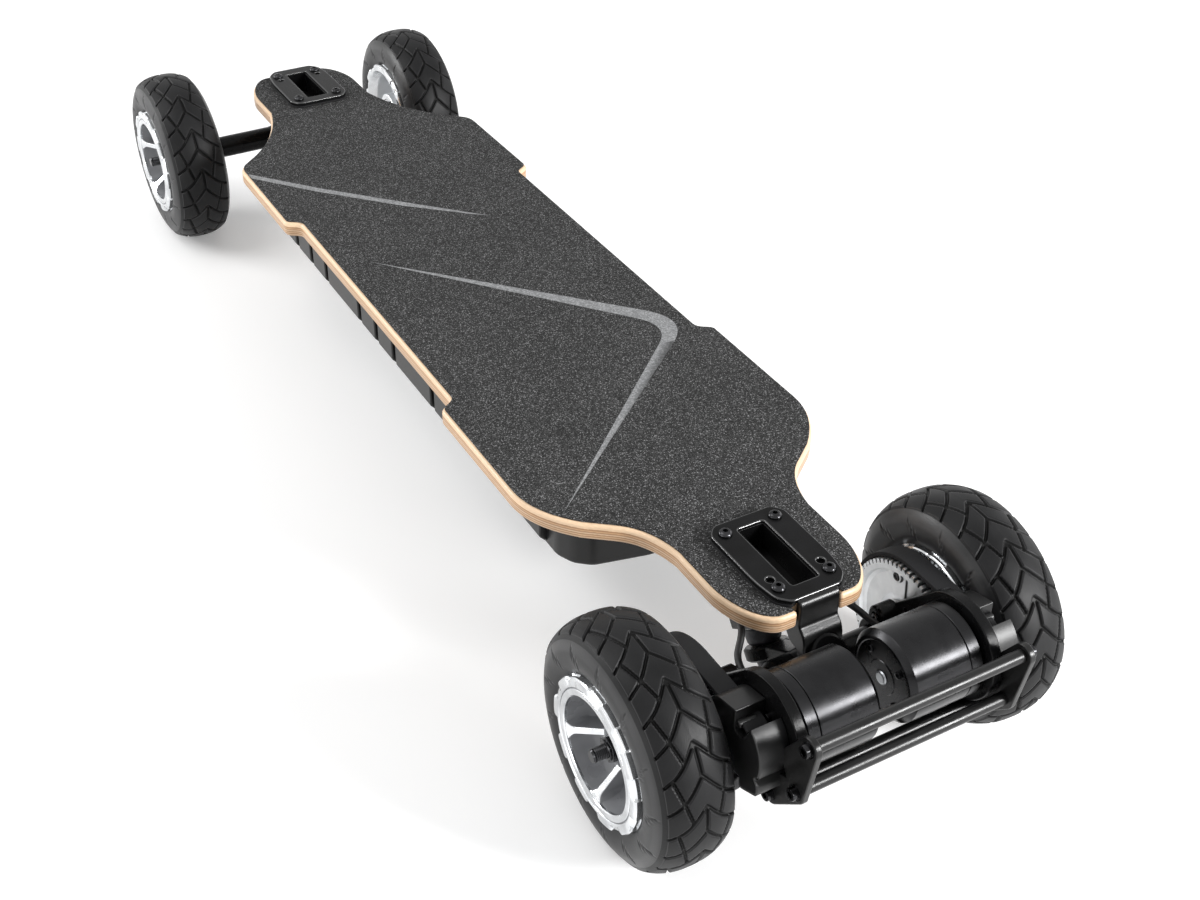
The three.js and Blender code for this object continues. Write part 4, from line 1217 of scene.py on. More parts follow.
@dataclass
class Rim:
    """A five-spoke rim: polished lips, ring and spoke fronts round a dish whose grey is a painted reflection.

    Args:
        notches: shallow notches in the outer edge of each lip.
        spokes: how many spokes.
        first: the turn of the first spoke, in degrees from the nose upwards.
        profile: what is turned, as [x, radius, finish of the stretch after it].
    """

    notches: int = 10
    spokes: int = 5
    first: float = -90
    # Finish 1, the dish and the groove in each lip, is the grey painted reflection; in the lips' grooves it is painted
    # shade
    profile: Sequence[tuple[float, float, int]] = (
        (14, 14.4, 0), (14, 16.2, 0), (13.4, 17, 0), (12.6, 17.2, 1), (6.2, 17.4, 1), (5, 18.4, 1), (4.6, 20, 1),
        (4.6, 29, 1), (5.6, 33, 1), (8.4, 36.4, 1), (13.5, 38.9, 1), (21, 40, 1), (28.8, 40.3, 0), (30.4, 40.4, 0),
        (31.1, 41.1, 0), (31.2, 45, 0), (30.8, 45.4, 1), (30.2, 45.8, 1), (30.8, 46.2, 0), (31.4, 46.8, 0),
        (31.8, 47.8, 0), (31.8, 51.6, 0), (31.4, 53, 0), (30.4, 53.8, 0), (28, 54, 0), (26.4, 54, 0), (26, 53.6, 0),
        (26, 46, 0), (-26, 46, 0), (-26, 53.6, 0), (-26.4, 54, 0), (-28, 54, 0), (-30.4, 53.8, 0), (-31.4, 53, 0),
        (-31.8, 51.6, 0), (-31.8, 47.8, 0), (-31.4, 46.8, 0), (-29.5, 45.6, 0), (-26, 44.6, 0), (-23.2, 42.6, 2),
        (-21, 41.6, 2), (-12, 41, 2), (-4, 39.6, 2), (0.2, 36.4, 2), (1.6, 32, 2), (2, 26, 2), (2, 22, 2),
        (1.2, 20.6, 2), (-0.4, 20, 2), (-26.2, 20, 2), (-27, 19.2, 0), (-27, 14.4, 0),
    )

    def spoke(self) -> Skin:
        """A spoke straight along +Y: sections across it run from the hub to the ring. Its front climbs evenly from the
        hub to the ring, its width gains a bell curve at each end, and its foot widens into the dish.

        Returns:
            The closed skin.
        """
        share = np.linspace(0, 1, 26)
        hub, ring = 16.4, 41.0
        r = hub + share * (ring - hub)
        front = 8.6 + 22.2 * share
        flare = 2.2 * np.exp(-(((r - 16.8) / 2.4) ** 2)) + 4.8 * np.exp(-(((41.2 - r) / 2.7) ** 2))
        half = 2.3 + 0.3 * share + flare
        foot = half + 0.9 + 0.3 * flare
        floor = np.full_like(r, 3.6)
        across = np.stack([-foot, -half - 0.35, -half, -half + 0.45, half - 0.45, half, half + 0.35, foot], 1)
        up = np.stack([floor, front - 1.6, front - 0.45, front, front, front - 0.45, front - 1.6, floor], 1)
        # The spoke's sides take finish 1, the grey painted reflection
        zones = np.repeat(np.array([[1, 1, 0, 0, 0, 1, 1, 1]]), len(r), 0)
        return capped(np.stack([up, np.repeat(r[:, None], 8, 1), across], -1), zones)

    def skin(self) -> Skin:
        """Turns the profile, presses the notches in its outer edges, and adds the spokes.

        Returns:
            The closed skin.
        """
        body = turned(self.profile, 240)
        angle, radius = body.around()
        wave = (np.degrees(angle) * self.notches / 360) % 1
        lips = np.abs(body.points[:, 0]) > 27
        press = step_up(0.26 - np.abs(wave - 0.5), 0, 0.05) * step_up(radius, 49.5, 52.5) * lips
        inward, sideways = 1.2, 1.5
        body.points[:, 1:] *= (1 - inward * press / radius)[:, None]
        body.points[:, 0] -= np.sign(body.points[:, 0]) * sideways * press
        turns = [self.first + 360 * k / self.spokes for k in range(self.spokes)]
        return joined([body, *(spun(self.spoke(), turn) for turn in turns)]).marked()


@dataclass
class Gear:
    """The driven gear: a toothed rim, a web with shallow pockets between radial lines, and a hub.

    Args:
        teeth: how many teeth.
        depth: the depth of a tooth.
        face: the outer face, from the wheel's middle plane.
        pockets: how many pockets the web has, with a screw between each two.
        first: the turn of the first screw, in radians from the nose upwards.
        screws_at: the radius that the screws stand on.
    """

    teeth: int = 66
    depth: float = 2.3
    face: float = -54.2
    pockets: int = 3
    first: float = math.radians(73)
    screws_at: float = 40.5

    def skin(self) -> Skin:
        """Turns a closed profile of [x, radius, share of the tooth's depth, share of the pockets' depth]. A tooth's
        side is the steep part of a raised cosine of the angle, and the web sinks by 1.1 mm between its radial lines.

        Returns:
            The closed skin.
        """
        rows = np.array([
            (2, 12.8, 0, 0), (1.2, 13.6, 0, 0), (1.2, 21, 0, 0), (2.4, 22.4, 0, 0), (2.8, 24, 0, 0),
            (2.8, 25.5, 0, 1), (2.8, 41, 0, 1), (2.8, 42.5, 0, 0), (2.4, 43.6, 0, 0), (0.6, 44.4, 0, 0),
            (0, 45, 0, 0), (0, 48.4, 0, 0), (0, 50.9, 0.9, 0), (0.6, 51.95, 1, 0), (19.4, 51.95, 1, 0),
            (20, 50.9, 0.9, 0), (20, 45, 0, 0), (19, 44.2, 0, 0), (9, 44, 0, 0), (9, 22.4, 0, 0),
            (26.8, 22, 0, 0), (26.8, 12.8, 0, 0),
        ]) + (self.face, 0, 0, 0)
        steps_a_tooth = 8
        angle = whole_turn(self.teeth * steps_a_tooth)
        valley = step_up(np.cos(angle * self.teeth), -0.1, 0.7)
        radius = rows[:, 1:2] - self.depth * rows[:, 2:3] * valley
        share = ((angle - self.first) * self.pockets / (2 * math.pi)) % 1
        sink = 1.1 * rows[:, 3:4] * step_up(share, 0.1, 0.115) * (1 - step_up(share, 0.86, 0.875))
        points = np.stack([rows[:, :1] + sink, radius * np.cos(angle), radius * np.sin(angle)], -1)
        # The gaps between the teeth take the belt's dark rubber: painted shade
        gaps = (rows[:, 2:3] > 0) & (valley > 0.6)
        disc = grid(points, zones=np.where(gaps, 2, 0))
        turns = self.first + 2 * math.pi * np.arange(self.pockets) / self.pockets
        spots = [self.screws_at * np.array([math.cos(t), math.sin(t)]) for t in turns]
        boss = [(3.4, 3.2), (1.7, 3.2), (1.3, 3.6), (1.3, 4.6), (1.7, 5), (5, 5), (5, 3.2)]
        boss = turned(np.add(boss, (self.face, 0)), 32)
        screw = [(1.5, 0), (1.5, 1.5), (0.9, 1.8), (0.9, 2.9), (1.3, 3.2), (5, 3.2), (5, 0)]
        screw = turned(np.add(screw, (self.face, 0)), 24)
        bosses = [boss.at(0, *spot) for spot in spots]
        screws = [screw.at(0, *spot).zoned(1) for spot in spots]
        return joined([disc, *bosses, *screws]).marked().outward()


@dataclass
class Wheels:
    """Builds and dresses the four wheels, each made in its own frame with X outboard from its middle plane.

    Args:
        layout: where the wheels sit.
        starts: the turn of the first spoke of each wheel.
    """

    layout: Layout
    starts: dict[tuple[End, Side], float] = field(
        default_factory=lambda: {
            (End.REAR, Side.LEFT): -90, (End.FRONT, Side.LEFT): -66, (End.REAR, Side.RIGHT): -40,
            (End.FRONT, Side.RIGHT): -75,
        }
    )

    def bearings(self) -> Skin:
        """Both bearings and the tube between them, each with its rubber shield sunk between two races.

        Returns:
            The closed skin.
        """
        face = [
            (14, 5.5, 0), (14, 7.6, 0), (13.6, 7.9, 1), (13.6, 11.2, 1), (14, 11.5, 0), (14, 13.6, 0), (13.6, 14, 0),
            (6, 14, 0), (6, 9, 0),
        ]
        back = [(-13 - x, r, zone) for x, r, zone in reversed(face)]
        return turned(face + back, 64).marked()

    def nut(self) -> Skin:
        """A locking nut with its nylon collar, over a washer.

        Returns:
            The closed skin.
        """
        body = slab([hexagon(17, 15), circle((0, 0), 5.2, 24)], 15.2, 21.2, 0.7)
        collar = turned([(21, 5.2), (21, 7.4), (22, 7.2), (22.6, 6.4), (22.6, 5.2)], 32)
        washer = turned([(14.3, 5.2), (14.3, 8.6), (15.3, 8.6), (15.3, 5.2)], 32)
        return joined([body, collar, washer.zoned(1)]).marked()

    def valve(self) -> Skin:
        """An air valve: a stem with a ribbed cap, standing out of the barrel towards the axle.

        Returns:
            The closed skin.
        """
        rows = [
            (0, 0), (0, 3.4), (2.5, 3.2), (3.5, 2.4), (9, 2.4), (9, 3.1), (10, 3.3), (16.5, 3.1), (17.4, 2.4), (17.6, 0)
        ]
        return turned(rows, 24)

    def build(self) -> None:
        """Makes every wheel's tyre, rim, bearings, nut and valve, and the two gears."""
        tyre = Tyre().skin()
        for end in End:
            for side in Side:
                body = f"wheel_{end.name.lower()}_{side.name.lower()}"
                place = body[6:]
                put = partial(self.layout.wheel, end=end, side=side)
                show(f"{place}_tyre_skin", put(tyre), [SHADED_TREAD_RUBBER, LIT_SIDE_WALL_RUBBER], body, [f"tyre_{place}"], 70)
                first = self.starts[end, side]
                rim = put(Rim(first=first).skin())
                show(f"{place}_rim_skin", rim, [POLISHED, GREY_PAINTED_REFLECTION, CAST], body, [f"rim_{place}"])
                show(f"{place}_bearings", put(self.bearings()), [RACE, SEAL], body, [f"hub_bearings_{place}"])
                show(f"{place}_nut", put(self.nut()), [BLACK_OXIDE, ZINC], body, [f"axle_nut_{place}"])
                between_spokes = first + 36
                stem = aimed(self.valve(), (0, 0), -polar(1, between_spokes)).at(-9, *polar(41.5, between_spokes))
                show(f"{place}_valve", put(stem), [SEAL], body)
        for side in Side:
            name = side.name.lower()
            gear = self.layout.wheel(Gear().skin(), End.REAR, side)
            finishes, body = [TURNED, BLACK_OXIDE, BELT_RUBBER_AND_GAP_SHADE], f"wheel_rear_{name}"
            show(f"gear_{name}_skin", gear, finishes, body, [f"drive_gear_{name}"])


# Belt drive


@dataclass
class Drive:
    """The belt drive of the tail truck, made for the right side: X to the side and Y outboard from the axle.

    Args:
        layout: where the truck sits.
        motor_at: the motor's axis, [outboard, up] from the axle.
        face: the outer face of the mount, from the middle.
        mount: the thickness of the mount.
        belt: the belt's two edges, from the middle.
        gear_radius: the radius of the driven gear over its teeth.
        pulley_radius: the radius of the motor's pulley over its teeth.
        rods: the guard's three rods, [outboard, up] from the motor's axis.
        gland_turn: where the lead enters the motor, in degrees round its axis.
        gap: what is left between the mount and the pieces bolted to it, so that no two faces share a plane.
        cover: the height of the pulley cover.
        bracket: the thickness of the guard's bracket.
    """

    layout: Layout
    motor_at: tuple[float, float] = (62.2, 39.2)
    face: float = 79.7
    mount: float = 8.0
    belt: tuple[float, float] = (83.8, 98.8)
    gear_radius: float = 52.0
    pulley_radius: float = 12.605
    rods: tuple[tuple[float, float], ...] = ((49, 29.3), (42, -14.8), (18, -39))
    gland_turn: float = 200
    gap: float = 0.3
    cover: float = 22
    bracket: float = 4.5

    def beside(self, place: Sequence[float]) -> np.ndarray:
        """A place given from the motor's axis."""
        return np.add(self.motor_at, place)

    def around(self, radius: float, turn: float) -> np.ndarray:
        """A place on a circle round the motor's axis."""
        return self.beside(polar(radius, turn))

    def loop(self, offset: float) -> np.ndarray:
        """The belt's outline at a distance outside the tips of both toothed wheels."""
        return wrap((0, 0), self.gear_radius + offset, self.motor_at, self.pulley_radius + offset, 60)

    def belt_skin(self) -> Skin:
        """A rounded rectangle carried along the belt's loop, with teeth on the inside of the two straight runs: the
        inner side drops by a raised cosine of the way along, 5 mm from tooth to tooth.

        Returns:
            The closed skin.
        """
        spacing, pitch = 0.7, 5
        path = evenly(np.concatenate([self.loop(2.1), self.loop(2.1)[:1]]), spacing)[:-1]
        tangent = unit(np.roll(path, -1, 0) - np.roll(path, 1, 0))
        outward = np.stack([tangent[:, 1], -tangent[:, 0]], -1)
        bend = np.abs(np.cross(np.roll(tangent, -8, 0), np.roll(tangent, 8, 0)))
        straight = 1 - step_up(bend, 0.01, 0.05)
        tooth = straight * step_up(np.cos(2 * math.pi * np.arange(len(path)) * spacing / pitch), 0.0, 0.6) * 1.5
        low, high = self.belt
        edge = np.array([
            (low, -1.2), (low, 1.2), (low + 0.4, 1.6), (high - 0.4, 1.6), (high, 1.2), (high, -1.2), (high - 0.2, -1.6),
            (low + 0.2, -1.6),
        ])
        offset = np.repeat(edge[None, :, 1], len(path), 0)
        offset[:, 6:] -= tooth[:, None]
        flat = path[:, None] + offset[..., None] * outward[:, None]
        across = np.repeat(edge[None, :, 0], len(path), 0)
        return grid(np.concatenate([across[..., None], flat], -1)).outward()

    def pulley_skin(self) -> Skin:
        """A toothed pulley between two flanges, with its shaft: a raised cosine of the angle cuts the teeth.

        Returns:
            The closed skin.
        """
        low, high = self.belt
        start, end = 52.3, high - low + 24.8
        rows = np.array([
            (0, 0), (0, 3.8), (31.5, 3.8), (31.5, 10.2), (31.7, 12.4), (end - 0.2, 12.4), (end, 10.2), (end, 4.4),
            (end, 0),
        ])
        rows[:, 0] += start
        skin = turned(rows, 256)
        angle, radius = skin.around()
        teeth, depth = 16, 2.2
        cut = depth * step_up(np.cos(teeth * angle), -0.3, 0.5) * (radius > 12)
        skin.points[:, 1:] *= (1 - cut / np.maximum(radius, 1))[:, None]
        return skin.marked()

    def motor_skin(self) -> Skin:
        """An outrunner's round can: the inner face with its boss and screws, chamfers, the groove before the end
        ring, the sunk collar next to the mount, and the lead's gland.

        Returns:
            The closed skin.
        """
        inner, outer = 11.7, self.face - self.mount - 0.3
        # Stretches marked 1, the groove's floor and the sunk collar, take the darker anodise copy, a painted shade
        rows = np.array([
            (inner - 1.5, 0, 2), (inner - 1.5, 3.6, 2), (inner - 1.2, 4.4, 2), (inner - 0.2, 5, 0), (inner, 6, 0),
            (inner, 12, 0), (inner + 0.5, 12.6, 0), (inner + 0.5, 25.6, 0), (inner, 26.2, 0), (inner, 28.2, 0),
            (inner + 0.3, 28.8, 0), (inner + 3.2, 31.8, 0), (inner + 4, 32.5, 0), (58.6, 32.5, 0), (58.95, 32.2, 0),
            (59, 31.4, 1), (59.5, 31.4, 1), (59.55, 32.2, 0), (59.9, 32.5, 0), (67.9, 32.5, 0), (68.4, 32.1, 0),
            (68.5, 31.4, 0), (68.6, 28.4, 1), (71, 28.4, 1), (outer, 28.2, 0), (outer, 0, 0),
        ])
        body = turned(rows, 128)
        gland = turned([(0, 0), (0, 5), (2.4, 5), (2.9, 4.6), (4, 4.5), (5.4, 3.9), (5.8, 3.2), (5.8, 0)], 32)
        start = self.around(31.8, self.gland_turn) - np.array(self.motor_at)
        gland = aimed(gland, start, polar(1, self.gland_turn)).at(56, 0, 0).zoned(3)
        screw = self.screw(2.6, 1.6).flipped().zoned(4)
        screws = [screw.at(inner + 0.6, *polar(20, turn)) for turn in (45, 135, 225, 315)]
        return joined([body, gland, *screws]).marked().at(0, *self.motor_at)

    def screw(self, radius: float, height: float) -> Skin:
        """A socket screw's head facing +X from the plane x = 0: a rounded cylinder with a six-sided socket.

        Args:
            radius: the head's radius.
            height: how far it stands out.

        Returns:
            The closed skin.
        """
        rows = [(-0.5, 0), (height - 0.35, 0), (height - 0.1, 0.12), (height, 0.4)]
        head = [(x, inset(circle((0, 0), radius, 24), draw)) for x, draw in rows]
        socket = rounded(circle((0, 0), radius * 0.56, 6), 0.02, 3)
        return lofted([*head, (height, socket), (height - 0.15, socket * 0.97), (height * 0.35, socket * 0.97)])

    def mount_skin(self) -> Skin:
        """The motor mount: a plate from the clamp to the motor's flange, with its window, holes and screws, the
        split clamp round the axle tube, and its ear.

        Returns:
            The closed skin.
        """
        low, high = self.face - self.mount, self.face
        reach = math.hypot(*self.motor_at)
        along = np.array(self.motor_at) / reach
        across = np.array([-along[1], along[0]])
        outline = wrap((0, 0), 19, self.motor_at, 38, 48)
        neck_at = 27 * along
        window = wrap(neck_at - 9 * across, 5, neck_at + 9 * across, 5, 10)
        tube = circle((0, 0), 11.3, 48)
        holes = [circle(neck_at + side * across, 1.9, 14) for side in (-19.5, 19.5)]
        plate_skin = slab([outline, window, tube, circle(self.motor_at, 11, 48), *holes], low, high, 0.9)
        sleeve = turned([(low - 14, 11.4), (low - 14, 15.2), (low - 13.2, 16), (low + 1, 16), (low + 1, 11.4)], 64)
        ear = turned(
            [
                (low - 14, 0), (low - 12.6, 0.01), (low - 12.6, 4.6), (low - 14, 5), (low - 14, 7.6), (low - 12.6, 9),
                (low + 1, 9), (low + 1, 0),
            ],
            40,
        )
        neck = slab([rounded([(-6, 8), (6, 8), (6, 20), (-6, 20)], 1.2)], low - 13.6, low + 1, 0.8)
        split = slab([rounded([(-0.7, 12), (0.7, 12), (0.7, 29.4), (-0.7, 29.4)], 0.2)], low - 14.2, low - 13, 0.2)
        bolts = [self.screw(3.6, 3).zoned(1).at(high - 1.2, *self.around(24, turn)) for turn in (45, 135, 225, 315)]
        clamp = self.screw(3.9, 2.2).flipped().zoned(1).at(low - 12.8, 0, 20)
        return joined([plate_skin, sleeve, ear.at(0, 0, 20), neck, split.zoned(1), *bolts, clamp])

    def cover_skin(self) -> Skin:
        """The pulley cover: a round body, a flat-topped block towards the axle with a niche beside it, a lug below,
        and an open side where the belt runs.

        Returns:
            The closed skin.
        """
        low = self.face + self.gap
        high = low + self.cover
        foot = [
            self.beside(p) for p in ((7.4, -26), (8.4, -34), (20.5, -28), (26.8, -25), (27.6, -17.5), (22.6, -12.6))
        ]
        foot = rounded([self.around(27, -78), *foot, self.around(28, -20)], [0.1, 2, 3, 3, 4.5, 4, 2, 0.1], 5, False)
        niche = [self.beside(p) for p in ((10.8, 16.6), (6.4, 8.2), (-1.2, 8.4), (-1.6, 24.9), (-20.5, 20.2))]
        niche = [self.around(28, 57), *niche, self.beside((-28.2, 14)), self.beside((-28.2, 6))]
        niche = rounded(niche, [1.2, 2, 3.4, 2.6, 1.4, 3, 4, 0.1], 5, False)
        wall = np.concatenate([foot, arc(self.motor_at, 28, -18, 56, 24), niche])
        gear_arc = arc((0, 0), 57.2, 60.2, 28, 12)
        gear_arc = gear_arc[np.linalg.norm(gear_arc - np.array(self.motor_at), axis=1) < 30]
        back = arc(self.motor_at, 27, -128, -80, 16)
        outline = np.concatenate([wall, gear_arc[1:-1], back])
        step, thick = unit(np.gradient(wall, axis=0)), 2.4
        inner = wall + thick * np.stack([-step[:, 1], step[:, 0]], -1)
        face = slab([outline], high - 2.6, high, 2.2, 5)
        side = slab([np.concatenate([wall, inner[::-1]])], low, high - 1.9, 0.35, 1)
        rib = slab([circle(self.beside((0.4, 14.2)), 2.7, 28)], low + 8, high - 1, 0.8)
        lug = slab([circle(self.beside((22, -21)), 4.6, 28)], low, high - 0.4, 1.2, 4)
        screws = [self.screw(3.1, 2.6).at(low, *self.beside(p)).zoned(1) for p in ((3.6, 13.4), (29.5, -12))]
        return joined([face, side, rib, lug, *screws])

    def bracket_skin(self) -> Skin:
        """The guard's bracket: strips between three lobes and two pads, each a hair thinner than the last so that
        no two faces share a plane, with a bolt in every rod's end.

        Returns:
            The closed skin.
        """
        low = self.face + self.gap
        high = low + self.bracket
        pads = [self.around(33, turn) for turn in (8, -52)]
        upper, lower, inner = (self.beside(rod) for rod in self.rods)
        pairs = [(upper, lower), (lower, inner), (upper, pads[0]), (inner, pads[1]), (lower, pads[0]), (lower, pads[1])]
        lobe, hair = 7.98, 0.03
        strips = [
            slab([wrap(a, lobe, b, lobe, 20)], low + hair * k, high - hair * k, 0.8) for k, (a, b) in enumerate(pairs)
        ]
        bolts = []
        for place in (upper, lower, inner):
            washer = turned([(0, 0), (0, 5.6), (0.9, 5.6), (0.9, 0)], 28).at(high - 0.2, *place)
            bolts += [washer.zoned(1), self.screw(4.4, 3.6).at(high + 0.6, *place).zoned(1)]
        return joined(strips + bolts)

    def lead_path(self) -> np.ndarray:
        """The lead's route from the enclosure's gland to the motor's, [across, outboard, up].

        Returns:
            The route's points, 2 mm apart.
        """
        points = [
            (28, -142.7, 33.8), (28, -130.7, 33.8), (29.96, -88, 42.8), (31.92, -48, 41.8), (38.08, -25, 32.8),
            (49, -12, 23.8), (52.92, 1, 20.8), (55.44, 15, 22.4),
        ]
        points.append((56, *self.around(38.4, self.gland_turn)))
        return evenly(curve_through(np.array(points, float), 16), 2.0)

    def build(self) -> None:
        """Makes both sides of the drive and the three rods between the brackets."""
        for side in Side:
            name = side.name.lower()
            put = partial(self.layout.drive, side=side)
            pulley = self.pulley_skin().at(0, *self.motor_at)
            for piece, node, skin, finishes, slot in (
                ("belt", "belt", self.belt_skin(), [BELT_RUBBER_AND_GAP_SHADE], "soft_rubber"),
                ("pulley", "motor_pulley", pulley, [ZINC], "steel"),
                ("motor", "motor", self.motor_skin(), [GUNMETAL, ANODISE_PAINTED_GROOVE_SHADE, ZINC, SEAL, BLACK_OXIDE], "gunmetal"),
                ("mount", "motor_mount", self.mount_skin(), [COAT, BLACK_OXIDE], "black_metal"),
                ("cover", "pulley_cover", self.cover_skin(), [PLASTIC, BLACK_OXIDE], "black_plastic"),
                ("bracket", "guard_bracket", self.bracket_skin(), [GUARD, BLACK_OXIDE], "black_metal"),
            ):
                body = f"rotor_{name}" if piece == "pulley" else "rear_truck"
                show(f"{piece}_{name}_skin", put(skin), finishes, body, [f"{node}_{name}"])
            lead = put(swept(self.lead_path(), 2.5, 20))
            piece = show(f"lead_{name}_skin", lead, [JACKET], None, [f"motor_lead_{name}"], 60)
            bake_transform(piece)
        for name, place in zip(("upper", "lower", "inner"), self.rods):
            half = self.face + 0.2
            rows = np.array([(-half, 0), (-half, 4.1), (-half + 0.4, 4.5), (half - 0.4, 4.5), (half, 4.1), (half, 0)])
            rod = self.layout.drive(turned(rows, 40).at(0, *self.beside(place)), Side.RIGHT)
            show(f"rod_{name}_skin", rod, [GUARD], "rear_truck", [f"guard_rod_{name}"])


# Trucks


@dataclass
class Trucks:
    """The two trucks, each made with X along the axle, Y outboard and Z up from the axle's middle.

    Args:
        layout: where the trucks sit.
        under: the underside of the deck, above the axle like all that follows.
        top: the top of the plate.
        pivot: where the pivot's ball sits, [outboard, up].
        slope: how far the steering axis leans from level, in degrees.
        ring: from the pivot along the steering axis to the kingpin's ring.
        bolts_across: from the middle to a row of bolts that runs along the board.
        bolt_rows: where the bolts stand, inboard of the axle.
        spare_row: where the two spare holes are.
    """

    layout: Layout
    under: float = 50.4
    top: float = 71.9
    pivot: tuple[float, float] = (17, 28.4)
    slope: float = 38
    ring: float = 75
    bolts_across: float = 20.65
    bolt_rows: tuple[float, float] = (-12.25, -75.75)
    spare_row: float = -21.75

    def on_axis(self, along: float, up: float) -> np.ndarray:
        """A place beside the steering axis: along it from the pivot towards the bushings, and square to it."""
        cos, sin = polar(1, self.slope)
        return np.array(self.pivot) + along * np.array([-cos, -sin]) + up * np.array([-sin, cos])

    def on_kingpin(self, skin: Skin) -> Skin:
        """Lays a skin made along X on the kingpin, from the ring's middle upwards."""
        return aimed(skin, self.on_axis(self.ring, 0), self.on_axis(0, 1) - self.on_axis(0, 0))

    def on_pivot(self, skin: Skin) -> Skin:
        """Lays a skin made along X on the steering axis, from the pivot towards the bushings."""
        return aimed(skin, self.pivot, self.on_axis(1, 0) - self.on_axis(0, 0))

    def plate_loops(self) -> list[np.ndarray]:
        """The plate's outline, its window, its four bolt holes and its two spare holes.

        Returns:
            The outlines.
        """
        half = [(20, 3), (28, -5), (31, -24), (31, -79), (24, -87)]
        outline = rounded(half + [(-x, y) for x, y in reversed(half)], [3, 4, 8, 4, 4, 4, 4, 8, 4, 3], 4)
        window = rounded([(11, -10), (11, -76), (-11, -76), (-11, -10)], 2.5, 4)
        rows = (*self.bolt_rows, self.spare_row)
        holes = [circle((x, y), 2.9, 20) for x in (-self.bolts_across, self.bolts_across) for y in rows]
        return [outline, window, *holes]

    def base_skin(self) -> Skin:
        """The baseplate: a bolted plate with a liner in its window, the tongue down through the deck's notch, the
        pivot's boss, and the arm to the kingpin's seat.

        Returns:
            The closed skin.
        """
        slab_top = plate(self.plate_loops(), self.top - 4, self.top, 1.1, 4, 2)
        arm = self.under - 0.3
        side = [(-4, 67.9), (2, 67.9), (2, arm), (-82, arm), (-82, arm - 14)]
        side += [self.on_axis(89, 33.6), self.on_axis(89, 19.6), self.on_axis(61, 19.6), (-41, arm - 9), (-9, arm - 9)]
        side += [
            self.on_axis(12, 14), self.pivot, self.on_axis(-8, 14), (8, self.under), (8, self.top - 0.6),
            (-4, self.top - 0.6),
        ]
        radii = [0.5, 0.5, 1, 4, 4, 4, 1, 1, 14, 8, 2, 0.5, 6, 2, 7, 0.5]
        tongue = slab([rounded(side, radii, 6)], -16, 16, 1.4, 4).zoned(1)
        boss = turned(
            [
                (-8, 0), (-8, 11.5), (-7.2, 13.2), (-5.5, 14), (10.5, 14), (11.6, 13.4), (12, 12.3), (12, 9.6),
                (3.7, 9.6), (3.7, 0),
            ],
            64,
        )
        seat = turned([(19.6, 5.2), (19.6, 12), (20.6, 13), (24, 13), (24, 5.2)], 48)
        window = self.plate_loops()[1][::-1]
        liner = plate([inset(window, 0.25), inset(window, 1.3)], self.under - 0.2, self.top - 1.6, 0.2, 1)
        return joined([slab_top, liner, tongue, self.on_pivot(boss), self.on_kingpin(seat)])

    def bolts_skin(self) -> Skin:
        """Four pan-head bolts with hexagon sockets on the plate, and their locking nuts under the deck.

        Returns:
            The closed skin.
        """
        rows = [(0, 4.9), (0.6, 5.1), (1.5, 4.9), (2.3, 4.2), (2.9, 3.2), (3.0, 2.6)]
        head = [(x, circle((0, 0), radius, 24)) for x, radius in rows]
        socket = rounded(circle((0, 0), 2.0, 6), 0.02, 3)
        pan = lofted([*head, (3.0, socket), (2.8, socket * 0.95), (1.0, socket * 0.93)])
        nut = joined([
            slab([hexagon(8)], -4.6, -0.9, 0.4),
            turned([(-6.8, 0), (-6.8, 1.9), (-6.4, 2.4), (-4.2, 2.4), (-4.2, 0)], 20),
            turned([(-0.95, 0), (-0.95, 5), (-0.05, 5), (-0.05, 0)], 24),
        ])
        places = [(x, y) for x in (-self.bolts_across, self.bolts_across) for y in self.bolt_rows]
        heads = [spun(pan, 17 * k).mapped(UPWARD, (*place, self.top - 0.05)) for k, place in enumerate(places)]
        nuts = [spun(nut, 23 * k).mapped(UPWARD, (*place, self.under)) for k, place in enumerate(places)]
        return joined(heads + nuts)

    def pad_skin(self) -> Skin:
        """The thin riser pad between the plate and the grit, open round the tongue.

        Returns:
            The closed skin.
        """
        outline, window, *_ = self.plate_loops()
        order = outline[outline[:, 1] < 2.6]
        order = order[np.argsort(np.arctan2(order[:, 0], -(order[:, 1] + 42)))]
        notch = np.array([(17.5, 2.6), (17.5, 1), (-17.5, 1), (-17.5, 2.6)])
        return plate([np.concatenate([order, notch]), window], self.top - 5.9, self.top - 4.2, 0.3, 2)

    def hanger_skin(self) -> Skin:
        """The hanger: the axle tube, thicker in the middle, the webs to the nose and to the kingpin's ring.

        Returns:
            The closed skin.
        """
        rows = [(107.7, 5.4), (107.7, 10), (106.7, 11), (34, 11), (30, 11.6), (27, 13.2), (24, 14)]
        tube = turned(rows + [(-x, r) for x, r in reversed(rows)], 64)
        ring = turned([(-5, 7.8), (-5, 15.4), (-3.6, 17), (3.6, 17), (5, 15.4), (5, 7.8)], 64)
        nose = turned([(4.2, 0), (4.2, 3.5), (5.2, 5.2), (6.6, 6), (22, 6), (22, 0)], 40)
        inboard = slab([wrap((0, 0), 14, self.on_axis(62.7, 0), 5, 24)], -10, 10, 3, 4)
        outboard = slab([wrap((0, 0), 14, self.on_axis(20, 0), 6, 24)], -10, 10, 3, 4)
        return joined([tube, self.on_kingpin(ring), self.on_pivot(nose), inboard, outboard])

    def kingpin_skin(self) -> Skin:
        """The kingpin's hexagon head, its cupped washers and its shank.

        Returns:
            The closed skin.
        """
        head = slab([hexagon(14.2)], -24.6, -18.8, 0.8)
        rows = [
            (-18.7, 0), (-18.7, 9.5), (-17.6, 12), (-16.6, 12.5), (-16.3, 12.1), (-16.9, 10.9), (-17, 4.75), (39, 4.75),
            (39.5, 4.2), (39.5, 0),
        ]
        return joined([head, turned(rows, 48)]).marked()

